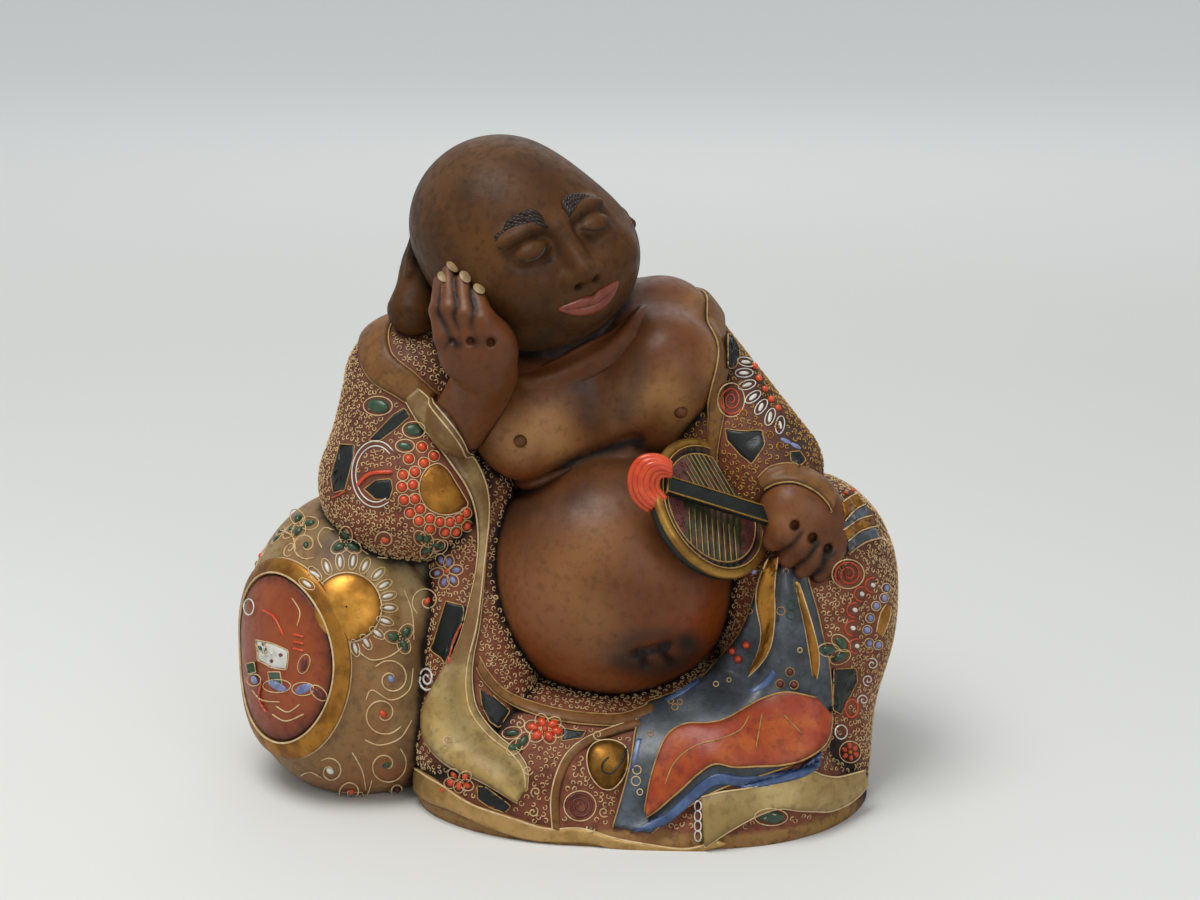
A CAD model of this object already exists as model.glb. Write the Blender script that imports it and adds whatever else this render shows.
# %% [markdown]
# # A laughing buddha in painted clay
# The real figure is pressed and modelled in clay, fired, burnished brown where the skin is bare,
# and then drawn over with trailed slip: hundreds of tiny raised curls, rings and lines, filled
# with enamel colours and gilding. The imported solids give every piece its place. This file makes
# the fine surfaces on them. They could be sculpted by hand, but here each one is a formula that a
# reader can follow: a distance field that rays are marched onto, or a profile carried along a path.

# %% Load the fixed frame
import math

import bpy
import numpy as np
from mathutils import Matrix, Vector
from mathutils.bvhtree import BVHTree


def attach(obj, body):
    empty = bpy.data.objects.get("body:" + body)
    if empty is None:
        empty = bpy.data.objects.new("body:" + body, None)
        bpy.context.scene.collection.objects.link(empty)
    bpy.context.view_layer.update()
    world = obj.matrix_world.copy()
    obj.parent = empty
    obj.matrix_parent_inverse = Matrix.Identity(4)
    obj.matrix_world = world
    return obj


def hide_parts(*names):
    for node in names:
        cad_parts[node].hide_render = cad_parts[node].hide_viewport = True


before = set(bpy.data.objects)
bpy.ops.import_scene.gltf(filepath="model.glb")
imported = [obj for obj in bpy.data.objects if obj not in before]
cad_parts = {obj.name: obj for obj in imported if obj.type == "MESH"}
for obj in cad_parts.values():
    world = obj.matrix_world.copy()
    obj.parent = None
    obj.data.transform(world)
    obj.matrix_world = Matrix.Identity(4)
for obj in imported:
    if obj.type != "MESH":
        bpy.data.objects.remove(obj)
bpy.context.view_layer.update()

# %% [markdown]
# ## Camera, floor and light
# The shapes are worked out in millimetres in the drawing frame of the solids, and go into the
# meshes in metres with the middle of the figure's box moved to the origin. The camera stands a
# little above the figure, 0.9 m in front. The floor runs up behind as one sweep of paper, and two
# soft panels and a plain world give even light.

# %% Units, camera and stage
MM = 0.001
DRAWING_MIDDLE = np.array([-1.1, -5.6, 0.0])
PHOTO_SIZE = (1200, 900)
LENS, SENSOR = 65.0, 36.0
FOCAL_PIXELS = LENS / SENSOR * PHOTO_SIZE[0]
CAMERA_AT = np.array([13.9, -898.9, 416.8])
CAMERA_DIP = math.radians(17)


def to_metres(points):
    """(point - middle of the drawing) / 1000."""
    return (np.asarray(points, float) - DRAWING_MIDDLE) * MM


camera_data = bpy.data.cameras.new("camera")
camera_data.lens, camera_data.sensor_width = LENS, SENSOR
camera_data.clip_start, camera_data.clip_end = 0.05, 20
camera = bpy.data.objects.new("camera", camera_data)
camera.location = Vector(to_metres(CAMERA_AT))
camera.rotation_euler = (math.pi / 2 - CAMERA_DIP, 0, 0)
bpy.context.scene.collection.objects.link(camera)
bpy.context.scene.camera = camera
bpy.context.scene.view_settings.view_transform = "Standard"


def soft_panel(name, at, size, watts):
    """A square area light at a point, turned towards the middle of the figure."""
    data = bpy.data.lights.new(name, "AREA")
    data.shape, data.size, data.energy = "SQUARE", size, watts
    lamp = bpy.data.objects.new(name, data)
    lamp.location = at
    lamp.rotation_euler = (Vector((0, 0, 0.13)) - Vector(at)).to_track_quat("-Z", "Y").to_euler()
    bpy.context.scene.collection.objects.link(lamp)


soft_panel("top_panel", (-0.35, -0.35, 1.35), 0.7, 13.5)
soft_panel("front_panel", (0.75, -1.35, 0.9), 0.9, 4.5)
soft_panel("back_panel", (0.1, 1.5, 1.2), 1.2, 3.6)
world = bpy.data.worlds.new("world")
bpy.context.scene.world = world
world.use_nodes = True
world.node_tree.nodes["Background"].inputs["Color"].default_value = (0.95, 0.98, 1, 1)
world.node_tree.nodes["Background"].inputs["Strength"].default_value = 0.56

# %% [markdown]
# ## Fields
# A field gives, for any points, about how far each is from a surface: negative inside, positive
# outside. Ellipsoids and round-ended limbs are enough for clay masses, and a blend rounds the
# corner where two of them meet, as a thumb does. Every function takes and gives whole arrays.

# %% Distance fields


def ellipsoid(at, radii):
    """k (k - 1) / s, where k = |(p - at) / radii| and s = |(p - at) / radii squared|."""
    at, radii = np.array(at, float), np.array(radii, float)

    def field(p):
        scaled = (p - at) / radii
        near = np.linalg.norm(scaled, axis=-1) + 1e-9
        return near * (near - 1) / (np.linalg.norm(scaled / radii, axis=-1) + 1e-9)

    return field


def limb(start, end, start_radius, end_radius):
    """Distance to the segment from start to end, less a radius that changes along it."""
    start, along = np.array(start, float), np.array(end, float) - np.array(start, float)

    def field(p):
        share = np.clip((p - start) @ along / (along @ along), 0, 1)
        radius = start_radius + (end_radius - start_radius) * share
        return np.linalg.norm(p - start - share[..., None] * along, axis=-1) - radius

    return field


def blend(size, *fields):
    """min(a, b) - h h size / 4 with h = max(size - |a - b|, 0) / size, taken field by field."""

    def field(p):
        total = fields[0](p)
        for other in fields[1:]:
            value = other(p)
            overlap = np.maximum(size - np.abs(total - value), 0) / size
            total = np.minimum(total, value) - overlap * overlap * size / 4
        return total

    return field


def carve(size, body, tool):
    """The body less the tool, with the edge rounded: the mirror image of a blend."""
    return lambda p: -blend(size, lambda q: -body(q), tool)(p)


def placed(field, matrix):
    """A field drawn in its own frame: field(inverse of the matrix times p)."""
    turn, shift = matrix[:3, :3], matrix[:3, 3]
    return lambda p: field((p - shift) @ turn)


def outward(field, p, step=0.2):
    """The field's slope by central differences, made one long."""
    sides = np.eye(3) * step
    slope = np.stack([field(p + side) - field(p - side) for side in sides], axis=-1)
    return slope / (np.linalg.norm(slope, axis=-1, keepdims=True) + 1e-9)


def onto(field, p, turns=6):
    """Slides points along the slope by 0.9 of their distance, a few times over."""
    p = np.array(p, float)
    for _ in range(turns):
        p = p - outward(field, p) * field(p)[..., None] * 0.9
    return p


def march(field, start, ray, reach, caution=0.7):
    """Goes along each ray by a share of the distance until the field is negative, then halves
    the last step. Gives how far each ray went, and whether it met the surface."""
    outer = np.zeros(len(start))
    inner = outer.copy()
    live = np.ones(len(start), bool)
    while live.any():
        value = field(start[live] + ray[live] * inner[live, None])
        open_air = value > 0
        walking = np.flatnonzero(live)[open_air]
        outer[walking] = inner[walking]
        inner[walking] += np.maximum(value[open_air] * caution, 0.25)
        live[np.flatnonzero(live)[~open_air]] = False
        live &= inner < reach
    for _ in range(12):
        middle = (inner + outer) / 2
        empty = field(start + ray * middle[:, None]) > 0
        outer, inner = np.where(empty, middle, outer), np.where(empty, inner, middle)
    return inner, inner < reach


# %% [markdown]
# ## Seeing a point of the figure
# A painter places an ornament by eye. Here a place seen in the picture is a pixel of the 1200 by
# 900 frame, and a ray through it finds the point on the clay. The same rays turned about the
# upright axis place ornaments on the sides and the back.

# %% Rays through pixels


def turned(vectors, turn):
    """Vectors turned about the upright axis by an angle in degrees."""
    angle = math.radians(turn)
    spin = np.array([[math.cos(angle), -math.sin(angle), 0], [math.sin(angle), math.cos(angle), 0], [0, 0, 1]])
    return vectors @ spin.T


def view_rays(pixels, turn=0):
    """Camera point and directions through pixels: x right + y up + ahead, one long, and both
    turned about the upright axis through the figure's middle."""
    pixels = np.atleast_2d(np.asarray(pixels, float))
    across = (pixels[:, 0] - PHOTO_SIZE[0] / 2) / FOCAL_PIXELS
    above = (PHOTO_SIZE[1] / 2 - pixels[:, 1]) / FOCAL_PIXELS
    sin, cos = math.sin(CAMERA_DIP), math.cos(CAMERA_DIP)
    ray = np.stack([across, cos + above * sin, above * cos - sin], axis=-1)
    ray /= np.linalg.norm(ray, axis=-1, keepdims=True)
    start = turned(CAMERA_AT - DRAWING_MIDDLE, turn) + DRAWING_MIDDLE
    return np.repeat(start[None], len(ray), 0), turned(ray, turn)


def at_depth(pixels, y):
    """The points on the rays through pixels at a given y."""
    start, ray = view_rays(pixels)
    return start + ray * ((y - start[:, 1]) / ray[:, 1])[:, None]


def seen_on(field, pixels, turn=0):
    """The first point of a field's surface along the ray through each pixel."""
    start, ray = view_rays(pixels, turn)
    far, _ = march(field, start + ray * 500, ray, 700, 0.9)
    return start + ray * (500 + far[:, None])


def to_pixels(points):
    """Where points appear: focal length times sideways and upward shares of their depth."""
    sin, cos = math.sin(CAMERA_DIP), math.cos(CAMERA_DIP)
    reach = points - CAMERA_AT
    depth = reach[:, 1] * cos - reach[:, 2] * sin
    above = reach[:, 1] * sin + reach[:, 2] * cos
    x = PHOTO_SIZE[0] / 2 + FOCAL_PIXELS * reach[:, 0] / depth
    return np.stack([x, PHOTO_SIZE[1] / 2 - FOCAL_PIXELS * above / depth], axis=-1)


def smooth_path(points, count, closed=False):
    """Catmull-Rom curve through points, then spaced evenly along its length."""
    points = np.asarray(points, float)
    ring = len(points) if closed else len(points) - 1
    index = np.arange(ring)
    last = len(points) - 1
    pick = (lambda i: points[i % len(points)]) if closed else (lambda i: points[np.clip(i, 0, last)])
    a, b, c, d = pick(index - 1), pick(index), pick(index + 1), pick(index + 2)
    t = np.linspace(0, 1, 13)[:-1, None, None]
    curve = 0.5 * (
        2 * b + (c - a) * t + (2 * a - 5 * b + 4 * c - d) * t**2 + (3 * b - a - 3 * c + d) * t**3
    )
    fine = curve.transpose(1, 0, 2).reshape(-1, points.shape[1])
    fine = np.vstack([fine, pick(np.array([ring]))])
    length = np.concatenate([[0], np.cumsum(np.linalg.norm(np.diff(fine, axis=0), axis=1))])
    stops = np.linspace(0, length[-1], count + 1)[:-1] if closed else np.linspace(0, length[-1], count)
    return np.stack([np.interp(stops, length, fine[:, k]) for k in range(points.shape[1])], axis=-1)


def path_distance(p, path):
    """The least distance from each point to the segments of a path, in two or three dimensions."""
    path = np.asarray(path, float)
    start, along = path[:-1], np.diff(path, axis=0)
    reach = p[:, None, :] - start
    share = np.clip((reach * along).sum(-1) / ((along * along).sum(-1) + 1e-9), 0, 1)
    return np.linalg.norm(reach - share[..., None] * along, axis=-1).min(1)


def pressed(points, normals, strokes, turn=0):
    """Sum of amount exp(-(pixel distance / width)^2) over strokes, for what faces the camera when
    the figure is seen from another side by the given turn."""
    points, normals = turned(points - DRAWING_MIDDLE, -turn) + DRAWING_MIDDLE, turned(normals, -turn)
    towards = CAMERA_AT - points
    towards /= np.linalg.norm(towards, axis=-1, keepdims=True)
    facing = np.clip((towards * normals).sum(-1) * 3, 0, 1)
    pixels = to_pixels(points)
    total = np.zeros(len(points))
    for path, amount, width in strokes:
        path = smooth_path(path, 4 * len(path)) if len(path) > 2 else np.array(path, float)
        near = (np.abs(pixels - path.mean(0)) < np.ptp(path, axis=0) / 2 + 3 * width).all(1) & (facing > 0)
        total[near] += amount * np.exp(-((path_distance(pixels[near], path) / width) ** 2))
    return total * facing


# %% [markdown]
# ## Meshes from arrays
# Every surface is a grid: rows and columns of points with faces between neighbours. A radial grid
# goes round a middle point and is closed at two poles. A laid grid follows the clay beneath and is
# closed by a second layer sunk into it. A tube carries a small ring along a path.

# %% Grids, tubes and pieces
SKIN, ROBE, TAN, CREAM, GOLD = "skin", "robe", "tan", "cream", "gold"
SACK, VERMILION, SLATE, BLACK, MOSS = "sack", "vermilion", "slate", "black", "moss"
made = {}


def flat_foot(points):
    """Points below the ground are raised to it."""
    return np.stack([points[..., 0], points[..., 1], np.maximum(points[..., 2], 0)], axis=-1)


def add_piece(name, vertices, faces, slot, material, nodes=(), marks=None):
    """Makes a mesh object in place from points in millimetres. Faces that point inwards, found
    by the sign of the enclosed volume, are all turned round."""
    vertices = flat_foot(np.asarray(vertices, float))
    metres = to_metres(vertices)
    corners = [(f[0], f[1], f[2]) for f in faces] + [(f[0], f[2], f[3]) for f in faces if len(f) == 4]
    a, b, c = (metres[np.array(corners)[:, k]] for k in range(3))
    if np.einsum("ij,ij->i", a, np.cross(b, c)).sum() < 0:
        faces = [f[::-1] for f in faces]
    mesh = bpy.data.meshes.new(name)
    mesh.from_pydata(metres.tolist(), [], faces)
    mesh.polygons.foreach_set("use_smooth", [True] * len(mesh.polygons))
    for mark, values in (marks or {}).items():
        mesh.attributes.new(mark, "FLOAT", "POINT").data.foreach_set("value", values.astype(np.float32))
    mesh.materials.append(material)
    mesh.update()
    piece = bpy.data.objects.new(name, mesh)
    bpy.context.scene.collection.objects.link(piece)
    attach(piece, "root")
    if nodes:
        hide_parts(*nodes)
    made[name] = (np.asarray(vertices, float), faces)
    return piece


def strip_faces(rows, columns, wrap):
    """Faces between neighbours of a grid, its columns joined round if wrap is true."""
    row, column = np.meshgrid(np.arange(rows - 1), np.arange(columns if wrap else columns - 1), indexing="ij")
    beside = (column + 1) % columns
    corners = [row * columns + column, row * columns + beside, (row + 1) * columns + beside, (row + 1) * columns + column]
    return np.stack(corners, axis=-1).reshape(-1, 4)


def radial_faces(rows, columns):
    """Grid faces, and a fan of triangles to the pole at each end."""
    body = strip_faces(rows, columns, True)
    first, last = rows * columns, rows * columns + 1
    turn = np.arange(columns)
    beside = (turn + 1) % columns
    base = (rows - 1) * columns
    caps = [[first, b, a] for a, b in zip(turn.tolist(), beside.tolist())]
    caps += [[last, base + a, base + b] for a, b in zip(turn.tolist(), beside.tolist())]
    return body.tolist() + caps


def radial_points(field, centre, rows, columns, tilt=None, reach=150):
    """centre + r(u, v) ray(u, v): u from pole to pole, v round, r the outermost zero."""
    u = np.linspace(0, np.pi, rows + 2)[1:-1, None]
    v = np.linspace(0, 2 * np.pi, columns, endpoint=False)[None, :]
    ray = np.stack([np.sin(u) * np.cos(v), np.sin(u) * np.sin(v), np.cos(u) + 0 * v], axis=-1).reshape(-1, 3)
    ray = np.vstack([ray, [[0, 0, 1], [0, 0, -1]]])
    ray = ray if tilt is None else ray @ np.asarray(tilt).T
    start = np.array(centre, float) + ray * reach
    far, _ = march(field, start, -ray, reach - 1)
    return start - ray * far[:, None]


def netted(field, low, high, step):
    """Surface nets: the field on a box of points, a vertex slid onto the surface in each cell that
    the surface crosses, and a face round each grid edge that it crosses."""
    axes = [np.arange(a, b + step, step) for a, b in zip(low, high)]
    grid = np.stack(np.meshgrid(*axes, indexing="ij"), axis=-1)
    inside = field(grid.reshape(-1, 3)).reshape(grid.shape[:3]) < 0
    cells = np.array(inside.shape) - 1
    corners = [(i, j, k) for i in (0, 1) for j in (0, 1) for k in (0, 1)]
    held = sum(inside[i:i + cells[0], j:j + cells[1], k:k + cells[2]].astype(int) for i, j, k in corners)
    crossed = (held > 0) & (held < 8)
    number = np.full(crossed.shape, -1)
    number[crossed] = np.arange(crossed.sum())
    points = onto(field, grid[:-1, :-1, :-1][crossed] + step / 2, 4)
    faces = []
    for axis in range(3):
        one, two = [k for k in range(3) if k != axis]
        low_end = np.take(inside, np.arange(cells[axis]), axis)
        change = low_end != np.take(inside, np.arange(1, cells[axis] + 1), axis)
        at = np.argwhere(change)
        at = at[(at[:, one] > 0) & (at[:, two] > 0) & (at[:, one] < cells[one]) & (at[:, two] < cells[two])]
        quad = []
        for shift_one, shift_two in ((1, 1), (0, 1), (0, 0), (1, 0)):
            cell = at.copy()
            cell[:, one] -= shift_one
            cell[:, two] -= shift_two
            quad.append(number[tuple(cell.T)])
        quad = np.stack(quad, axis=-1)
        flip = low_end[tuple(at.T)] == (axis == 1)
        quad[flip] = quad[flip][:, ::-1]
        faces.append(quad)
    return points, np.vstack(faces).tolist()


def laid_mesh(base, normals, heights, sink=1.6):
    """Two layers over a grid of points on the clay: base + n height, and base - n sink."""
    rows, columns = base.shape[:2]
    top = (base + normals * heights[..., None]).reshape(-1, 3)
    under = (base - normals * sink).reshape(-1, 3)
    upper = strip_faces(rows, columns, False)
    lower = upper[:, ::-1] + rows * columns
    rim = np.concatenate([
        np.arange(columns), np.arange(1, rows) * columns + columns - 1,
        (rows - 1) * columns + np.arange(columns - 2, -1, -1), np.arange(rows - 2, 0, -1) * columns,
    ])
    beside = np.roll(rim, -1)
    wall = np.stack([rim, rim + rows * columns, beside + rows * columns, beside], axis=-1)
    return np.vstack([top, under]), np.vstack([upper, lower, wall])


def laid_piece(name, base, normals, heights, slot, material, nodes=(), marks=None, sink=1.6):
    points, faces = laid_mesh(base, normals, heights, sink)
    both = {mark: np.concatenate([v.ravel(), v.ravel()]) for mark, v in (marks or {}).items()}
    return add_piece(name, points, faces.tolist(), slot, material, nodes, both)


def tubes(paths, ups, radii, sides=6, flat=1.0, closed=False):
    """Rings of p + r (cos a across + flat sin a up) carried along many equal-length paths.
    paths and ups are (tubes, steps, 3), and radii is anything that fits (tubes, steps)."""
    paths, ups = np.asarray(paths, float), np.asarray(ups, float)
    if closed:
        ahead = np.roll(paths, -1, 1) - np.roll(paths, 1, 1)
    else:
        ahead = np.gradient(paths, axis=1)
    ahead /= np.linalg.norm(ahead, axis=-1, keepdims=True) + 1e-9
    across = np.cross(ahead, ups)
    across /= np.linalg.norm(across, axis=-1, keepdims=True) + 1e-9
    up = np.cross(across, ahead)
    angle = (np.arange(sides) + 0.5) * 2 * np.pi / sides
    radius = np.broadcast_to(radii, paths.shape[:2])[..., None, None]
    ring = np.cos(angle)[:, None] * across[:, :, None] + flat * np.sin(angle)[:, None] * up[:, :, None]
    points = paths[:, :, None] + radius * ring
    count, steps = paths.shape[:2]
    quads = strip_faces(steps + 1 if closed else steps, sides, True)
    quads = quads % (steps * sides)
    size = steps * sides
    faces = (quads[None] + np.arange(count)[:, None, None] * size).reshape(-1, 4).tolist()
    if not closed:
        first = (np.arange(sides)[::-1][None] + np.arange(count)[:, None] * size).tolist()
        last = (np.arange(size - sides, size)[None] + np.arange(count)[:, None] * size).tolist()
        faces += first + last
    return points.reshape(-1, 3), faces


def together(*parts):
    """Several (points, faces) pairs as one."""
    points, faces, shift = [], [], 0
    for part_points, part_faces in parts:
        points.append(part_points)
        faces += [[i + shift for i in face] for face in part_faces]
        shift += len(part_points)
    return np.vstack(points), faces

# %% [markdown]
# ## Clay, paint and gilding
# Fired clay is never one colour: it is cloudy from the kiln, mottled by the brush, and black
# where hands and dust have left dirt in the creases. One node group mixes these over any surface,
# and a second one wears gilding through to the brown under it. The crease mask comes with the
# mesh, because only the maker of the shape knows how deep each point lies.

# %% Node helpers and the shared groups


def hue(number, alpha=1.0):
    """A hex sRGB colour as the linear numbers that shaders use."""
    shares = [(number >> shift & 255) / 255 for shift in (16, 8, 0)]
    return tuple(c / 12.92 if c <= 0.04045 else ((c + 0.055) / 1.055) ** 2.4 for c in shares) + (alpha,)


def node(tree, kind, inputs=None, **settings):
    """Adds a node, sets its properties, and joins or sets each named or numbered input."""
    added = tree.nodes.new(kind)
    for key, value in settings.items():
        setattr(added, key, value)
    for key, value in (inputs or {}).items():
        if isinstance(value, bpy.types.NodeSocket):
            tree.links.new(value, added.inputs[key])
        else:
            added.inputs[key].default_value = value
    return added


def mixed(tree, share, a, b):
    """Colour a where share is 0, and b where it is 1."""
    return node(tree, "ShaderNodeMix", {0: share, 6: a, 7: b}, data_type="RGBA").outputs[2]


def math_node(tree, operation, a, b=0.0, clamp=False):
    return node(tree, "ShaderNodeMath", {0: a, 1: b}, operation=operation, use_clamp=clamp).outputs[0]


def stepped(tree, value, low, high):
    """0 below low, 1 above high, and a smooth step between."""
    inputs = {"Value": value, "From Min": low, "From Max": high}
    return node(tree, "ShaderNodeMapRange", inputs, interpolation_type="SMOOTHSTEP").outputs[0]


def noise(tree, place, scale, detail=3.0, roughness=0.55):
    inputs = {"Vector": place, "Scale": scale, "Detail": detail, "Roughness": roughness}
    return node(tree, "ShaderNodeTexNoise", inputs).outputs["Fac"]


def new_group(name, inputs, outputs):
    """An empty node group with named sockets: {name: default}, four numbers for a colour."""
    tree = bpy.data.node_groups.new(name, "ShaderNodeTree")
    for label, default in inputs.items():
        kind = "NodeSocketColor" if isinstance(default, tuple) else "NodeSocketFloat"
        tree.interface.new_socket(name=label, in_out="INPUT", socket_type=kind).default_value = default
    for label, kind in outputs.items():
        tree.interface.new_socket(name=label, in_out="OUTPUT", socket_type=kind)
    return tree, node(tree, "NodeGroupInput").outputs, node(tree, "NodeGroupOutput").inputs


def aged_clay_group():
    """Base clouded with Light, mottled with Dark, and dirtied with Patina where Crease is high."""
    grey = (0.5, 0.5, 0.5, 1.0)
    inputs = {"Base": grey, "Light": grey, "Dark": grey, "Patina": grey, "Light Amount": 0.5,
              "Dark Amount": 0.5, "Crease": 0.0, "Roughness": 0.5, "Cloud Scale": 45.0}
    outputs = {"Color": "NodeSocketColor", "Roughness": "NodeSocketFloat", "Height": "NodeSocketFloat"}
    tree, given, result = new_group("aged_clay", inputs, outputs)
    place = node(tree, "ShaderNodeTexCoord").outputs["Object"]
    cloud = noise(tree, place, given["Cloud Scale"], 4.0)
    mottle = noise(tree, place, 260.0, 5.0, 0.62)
    grain = noise(tree, place, 1500.0, 2.0)
    light = math_node(tree, "MULTIPLY", stepped(tree, cloud, 0.42, 0.68), given["Light Amount"])
    dark = math_node(tree, "MULTIPLY", stepped(tree, mottle, 0.47, 0.68), given["Dark Amount"])
    pore = math_node(tree, "MULTIPLY", stepped(tree, grain, 0.6, 0.74), 0.35)
    dirt = math_node(tree, "MULTIPLY", given["Crease"], math_node(tree, "ADD", mottle, 0.55), True)
    colour = mixed(tree, light, given["Base"], given["Light"])
    colour = mixed(tree, dark, colour, given["Dark"])
    colour = mixed(tree, pore, colour, given["Dark"])
    colour = mixed(tree, dirt, colour, given["Patina"])
    tree.links.new(colour, result["Color"])
    rough = math_node(tree, "MULTIPLY", math_node(tree, "SUBTRACT", mottle, 0.5), 0.5)
    rough = math_node(tree, "ADD", rough, math_node(tree, "MULTIPLY", dirt, 0.2))
    tree.links.new(math_node(tree, "ADD", rough, given["Roughness"], True), result["Roughness"])
    height = math_node(tree, "ADD", math_node(tree, "MULTIPLY", mottle, 0.7), math_node(tree, "MULTIPLY", grain, 0.45))
    tree.links.new(height, result["Height"])
    return tree


def gilding_group():
    """Gold leaf with Wear: where a noise and the crease mask are high, the Ground shows through."""
    grey = (0.5, 0.5, 0.5, 1.0)
    inputs = {"Gold": grey, "Deep": grey, "Ground": grey, "Wear": 0.3, "Crease": 0.0}
    outputs = {"Color": "NodeSocketColor", "Metallic": "NodeSocketFloat",
               "Roughness": "NodeSocketFloat", "Height": "NodeSocketFloat"}
    tree, given, result = new_group("gilding", inputs, outputs)
    place = node(tree, "ShaderNodeTexCoord").outputs["Object"]
    cloud = noise(tree, place, 90.0, 5.0, 0.6)
    rub = noise(tree, place, 420.0, 6.0, 0.7)
    colour = mixed(tree, stepped(tree, cloud, 0.4, 0.66), given["Gold"], given["Deep"])
    worn = math_node(tree, "ADD", stepped(tree, rub, 0.56, 0.7), math_node(tree, "MULTIPLY", given["Crease"], 1.2))
    worn = math_node(tree, "MULTIPLY", worn, given["Wear"], True)
    tree.links.new(mixed(tree, worn, colour, given["Ground"]), result["Color"])
    leaf = math_node(tree, "SUBTRACT", 0.85, worn, True)
    tree.links.new(leaf, result["Metallic"])
    rough = math_node(tree, "ADD", math_node(tree, "MULTIPLY", cloud, 0.25), math_node(tree, "MULTIPLY", worn, 0.3))
    tree.links.new(math_node(tree, "ADD", rough, 0.3, True), result["Roughness"])
    tree.links.new(math_node(tree, "SUBTRACT", rub, worn), result["Height"])
    return tree


AGED_CLAY, GILDING = aged_clay_group(), gilding_group()


def new_material(name, coat=0.0, specular=0.28, metallic=None):
    material = bpy.data.materials.new(name)
    material.use_nodes = True
    tree = material.node_tree
    shader = tree.nodes["Principled BSDF"]
    shader.inputs["Specular IOR Level"].default_value = specular
    shader.inputs["Coat Weight"].default_value = coat
    shader.inputs["Coat Roughness"].default_value = 0.25
    if metallic is not None:
        shader.inputs["Metallic"].default_value = metallic
    return material, tree, shader


def bumped(tree, shader, height, strength, distance):
    """A Bump node between a height and the shader's normal."""
    bump = node(tree, "ShaderNodeBump", {"Height": height, "Strength": strength, "Distance": distance})
    tree.links.new(bump.outputs["Normal"], shader.inputs["Normal"])


def crease_of(tree):
    return node(tree, "ShaderNodeAttribute", attribute_name="crease").outputs["Fac"]


def aged(name, base, light, dark, patina, light_amount=0.5, dark_amount=0.5, roughness=0.5,
         coat=0.0, bump=0.3, cloud=45.0, stains=(), specular=0.28):
    """A painted or burnished clay. Each stain is (attribute, colour): a mask painted on the mesh."""
    material, tree, shader = new_material(name, coat, specular)
    colour = hue(base)
    for mark, tint in stains:
        mask = node(tree, "ShaderNodeAttribute", attribute_name=mark).outputs["Fac"]
        colour = mixed(tree, mask, colour, hue(tint))
    inputs = {"Base": colour, "Light": hue(light), "Dark": hue(dark), "Patina": hue(patina),
              "Light Amount": light_amount, "Dark Amount": dark_amount, "Crease": crease_of(tree),
              "Roughness": roughness, "Cloud Scale": cloud}
    paint = node(tree, "ShaderNodeGroup", node_tree=AGED_CLAY)
    for key, value in inputs.items():
        if isinstance(value, bpy.types.NodeSocket):
            tree.links.new(value, paint.inputs[key])
        else:
            paint.inputs[key].default_value = value
    tree.links.new(paint.outputs["Color"], shader.inputs["Base Color"])
    tree.links.new(paint.outputs["Roughness"], shader.inputs["Roughness"])
    bumped(tree, shader, paint.outputs["Height"], bump, 0.0006)
    return material


def gilded(name, gold, deep, ground, wear):
    material, tree, shader = new_material(name)
    paint = node(tree, "ShaderNodeGroup", node_tree=GILDING)
    for key, value in {"Gold": hue(gold), "Deep": hue(deep), "Ground": hue(ground), "Wear": wear}.items():
        paint.inputs[key].default_value = value
    tree.links.new(crease_of(tree), paint.inputs["Crease"])
    for source, target in (("Color", "Base Color"), ("Metallic", "Metallic"), ("Roughness", "Roughness")):
        tree.links.new(paint.outputs[source], shader.inputs[target])
    bumped(tree, shader, paint.outputs["Height"], 0.25, 0.0003)
    return material


# %% Finishes of this figure
skin_paint = aged("burnished_skin", 0x60361A, 0x825432, 0x442610, 0x1C1008, 0.55, 0.34, 0.42, coat=0.08,
                  bump=0.22, cloud=22.0, stains=(("warm", 0x783610), ("glow", 0xA07446), ("soot", 0x26201A)), specular=0.2)
head_paint = aged("dark_burnished_skin", 0x44280F, 0x63401F, 0x2A180A, 0x180E07, 0.6, 0.45, 0.48, coat=0.0,
                  bump=0.22, cloud=22.0, stains=(("warm", 0x783610), ("soot", 0x26201A)), specular=0.15)
robe_paint = aged("robe_ground", 0x6E3A24, 0x845034, 0x48241A, 0x1A100C, 0.5, 0.6, 0.6, bump=0.5, cloud=60.0,
                  stains=(("soot", 0x2C221A), ("foot", 0x8C6A38)))
sack_paint = aged("sack_paint", 0x80603A, 0x988254, 0x5C4028, 0x241A12, 0.6, 0.55, 0.5, bump=0.3, cloud=26.0,
                  stains=(("warm", 0x82502A), ("soot", 0x3A2E22)))
tan_paint = aged("tan_band", 0x6A4420, 0x866030, 0x4A3014, 0x1E150D, 0.6, 0.6, 0.46, coat=0.1, bump=0.3, cloud=60.0,
                 stains=(("soot", 0x5A4630),), specular=0.2)
cream_paint = aged("cream_fold", 0x9C8048, 0xB29C68, 0x6E5630, 0x2E2010, 0.7, 0.55, 0.48, coat=0.1, bump=0.3, cloud=50.0,
                   stains=(("soot", 0x5F5234),))
tan_to_cream = aged("tan_to_cream", 0x9C8048, 0xB29C68, 0x6E5630, 0x2A1C10, 0.65, 0.55, 0.46, coat=0.1, bump=0.3, cloud=50.0,
                    stains=(("soot", 0x6C4A28),))
slip_paint = aged("cream_slip", 0xC4A678, 0xD8C49C, 0x94744C, 0x3A2818, 0.6, 0.5, 0.5, bump=0.3, cloud=160.0)
dark_slip_paint = aged("tan_slip", 0xA07C48, 0xB8965E, 0x644A2A, 0x2A1C10, 0.6, 0.6, 0.5, bump=0.3, cloud=160.0)
white_paint = aged("white_slip", 0xC9C6BC, 0xDAD8D0, 0x98968E, 0x50483C, 0.6, 0.4, 0.35, coat=0.3, bump=0.2, cloud=160.0)
red_slip_paint = aged("red_slip", 0xB03A18, 0xC65028, 0x7A2810, 0x30120A, 0.5, 0.5, 0.35, coat=0.4, bump=0.2, cloud=120.0)
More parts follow.
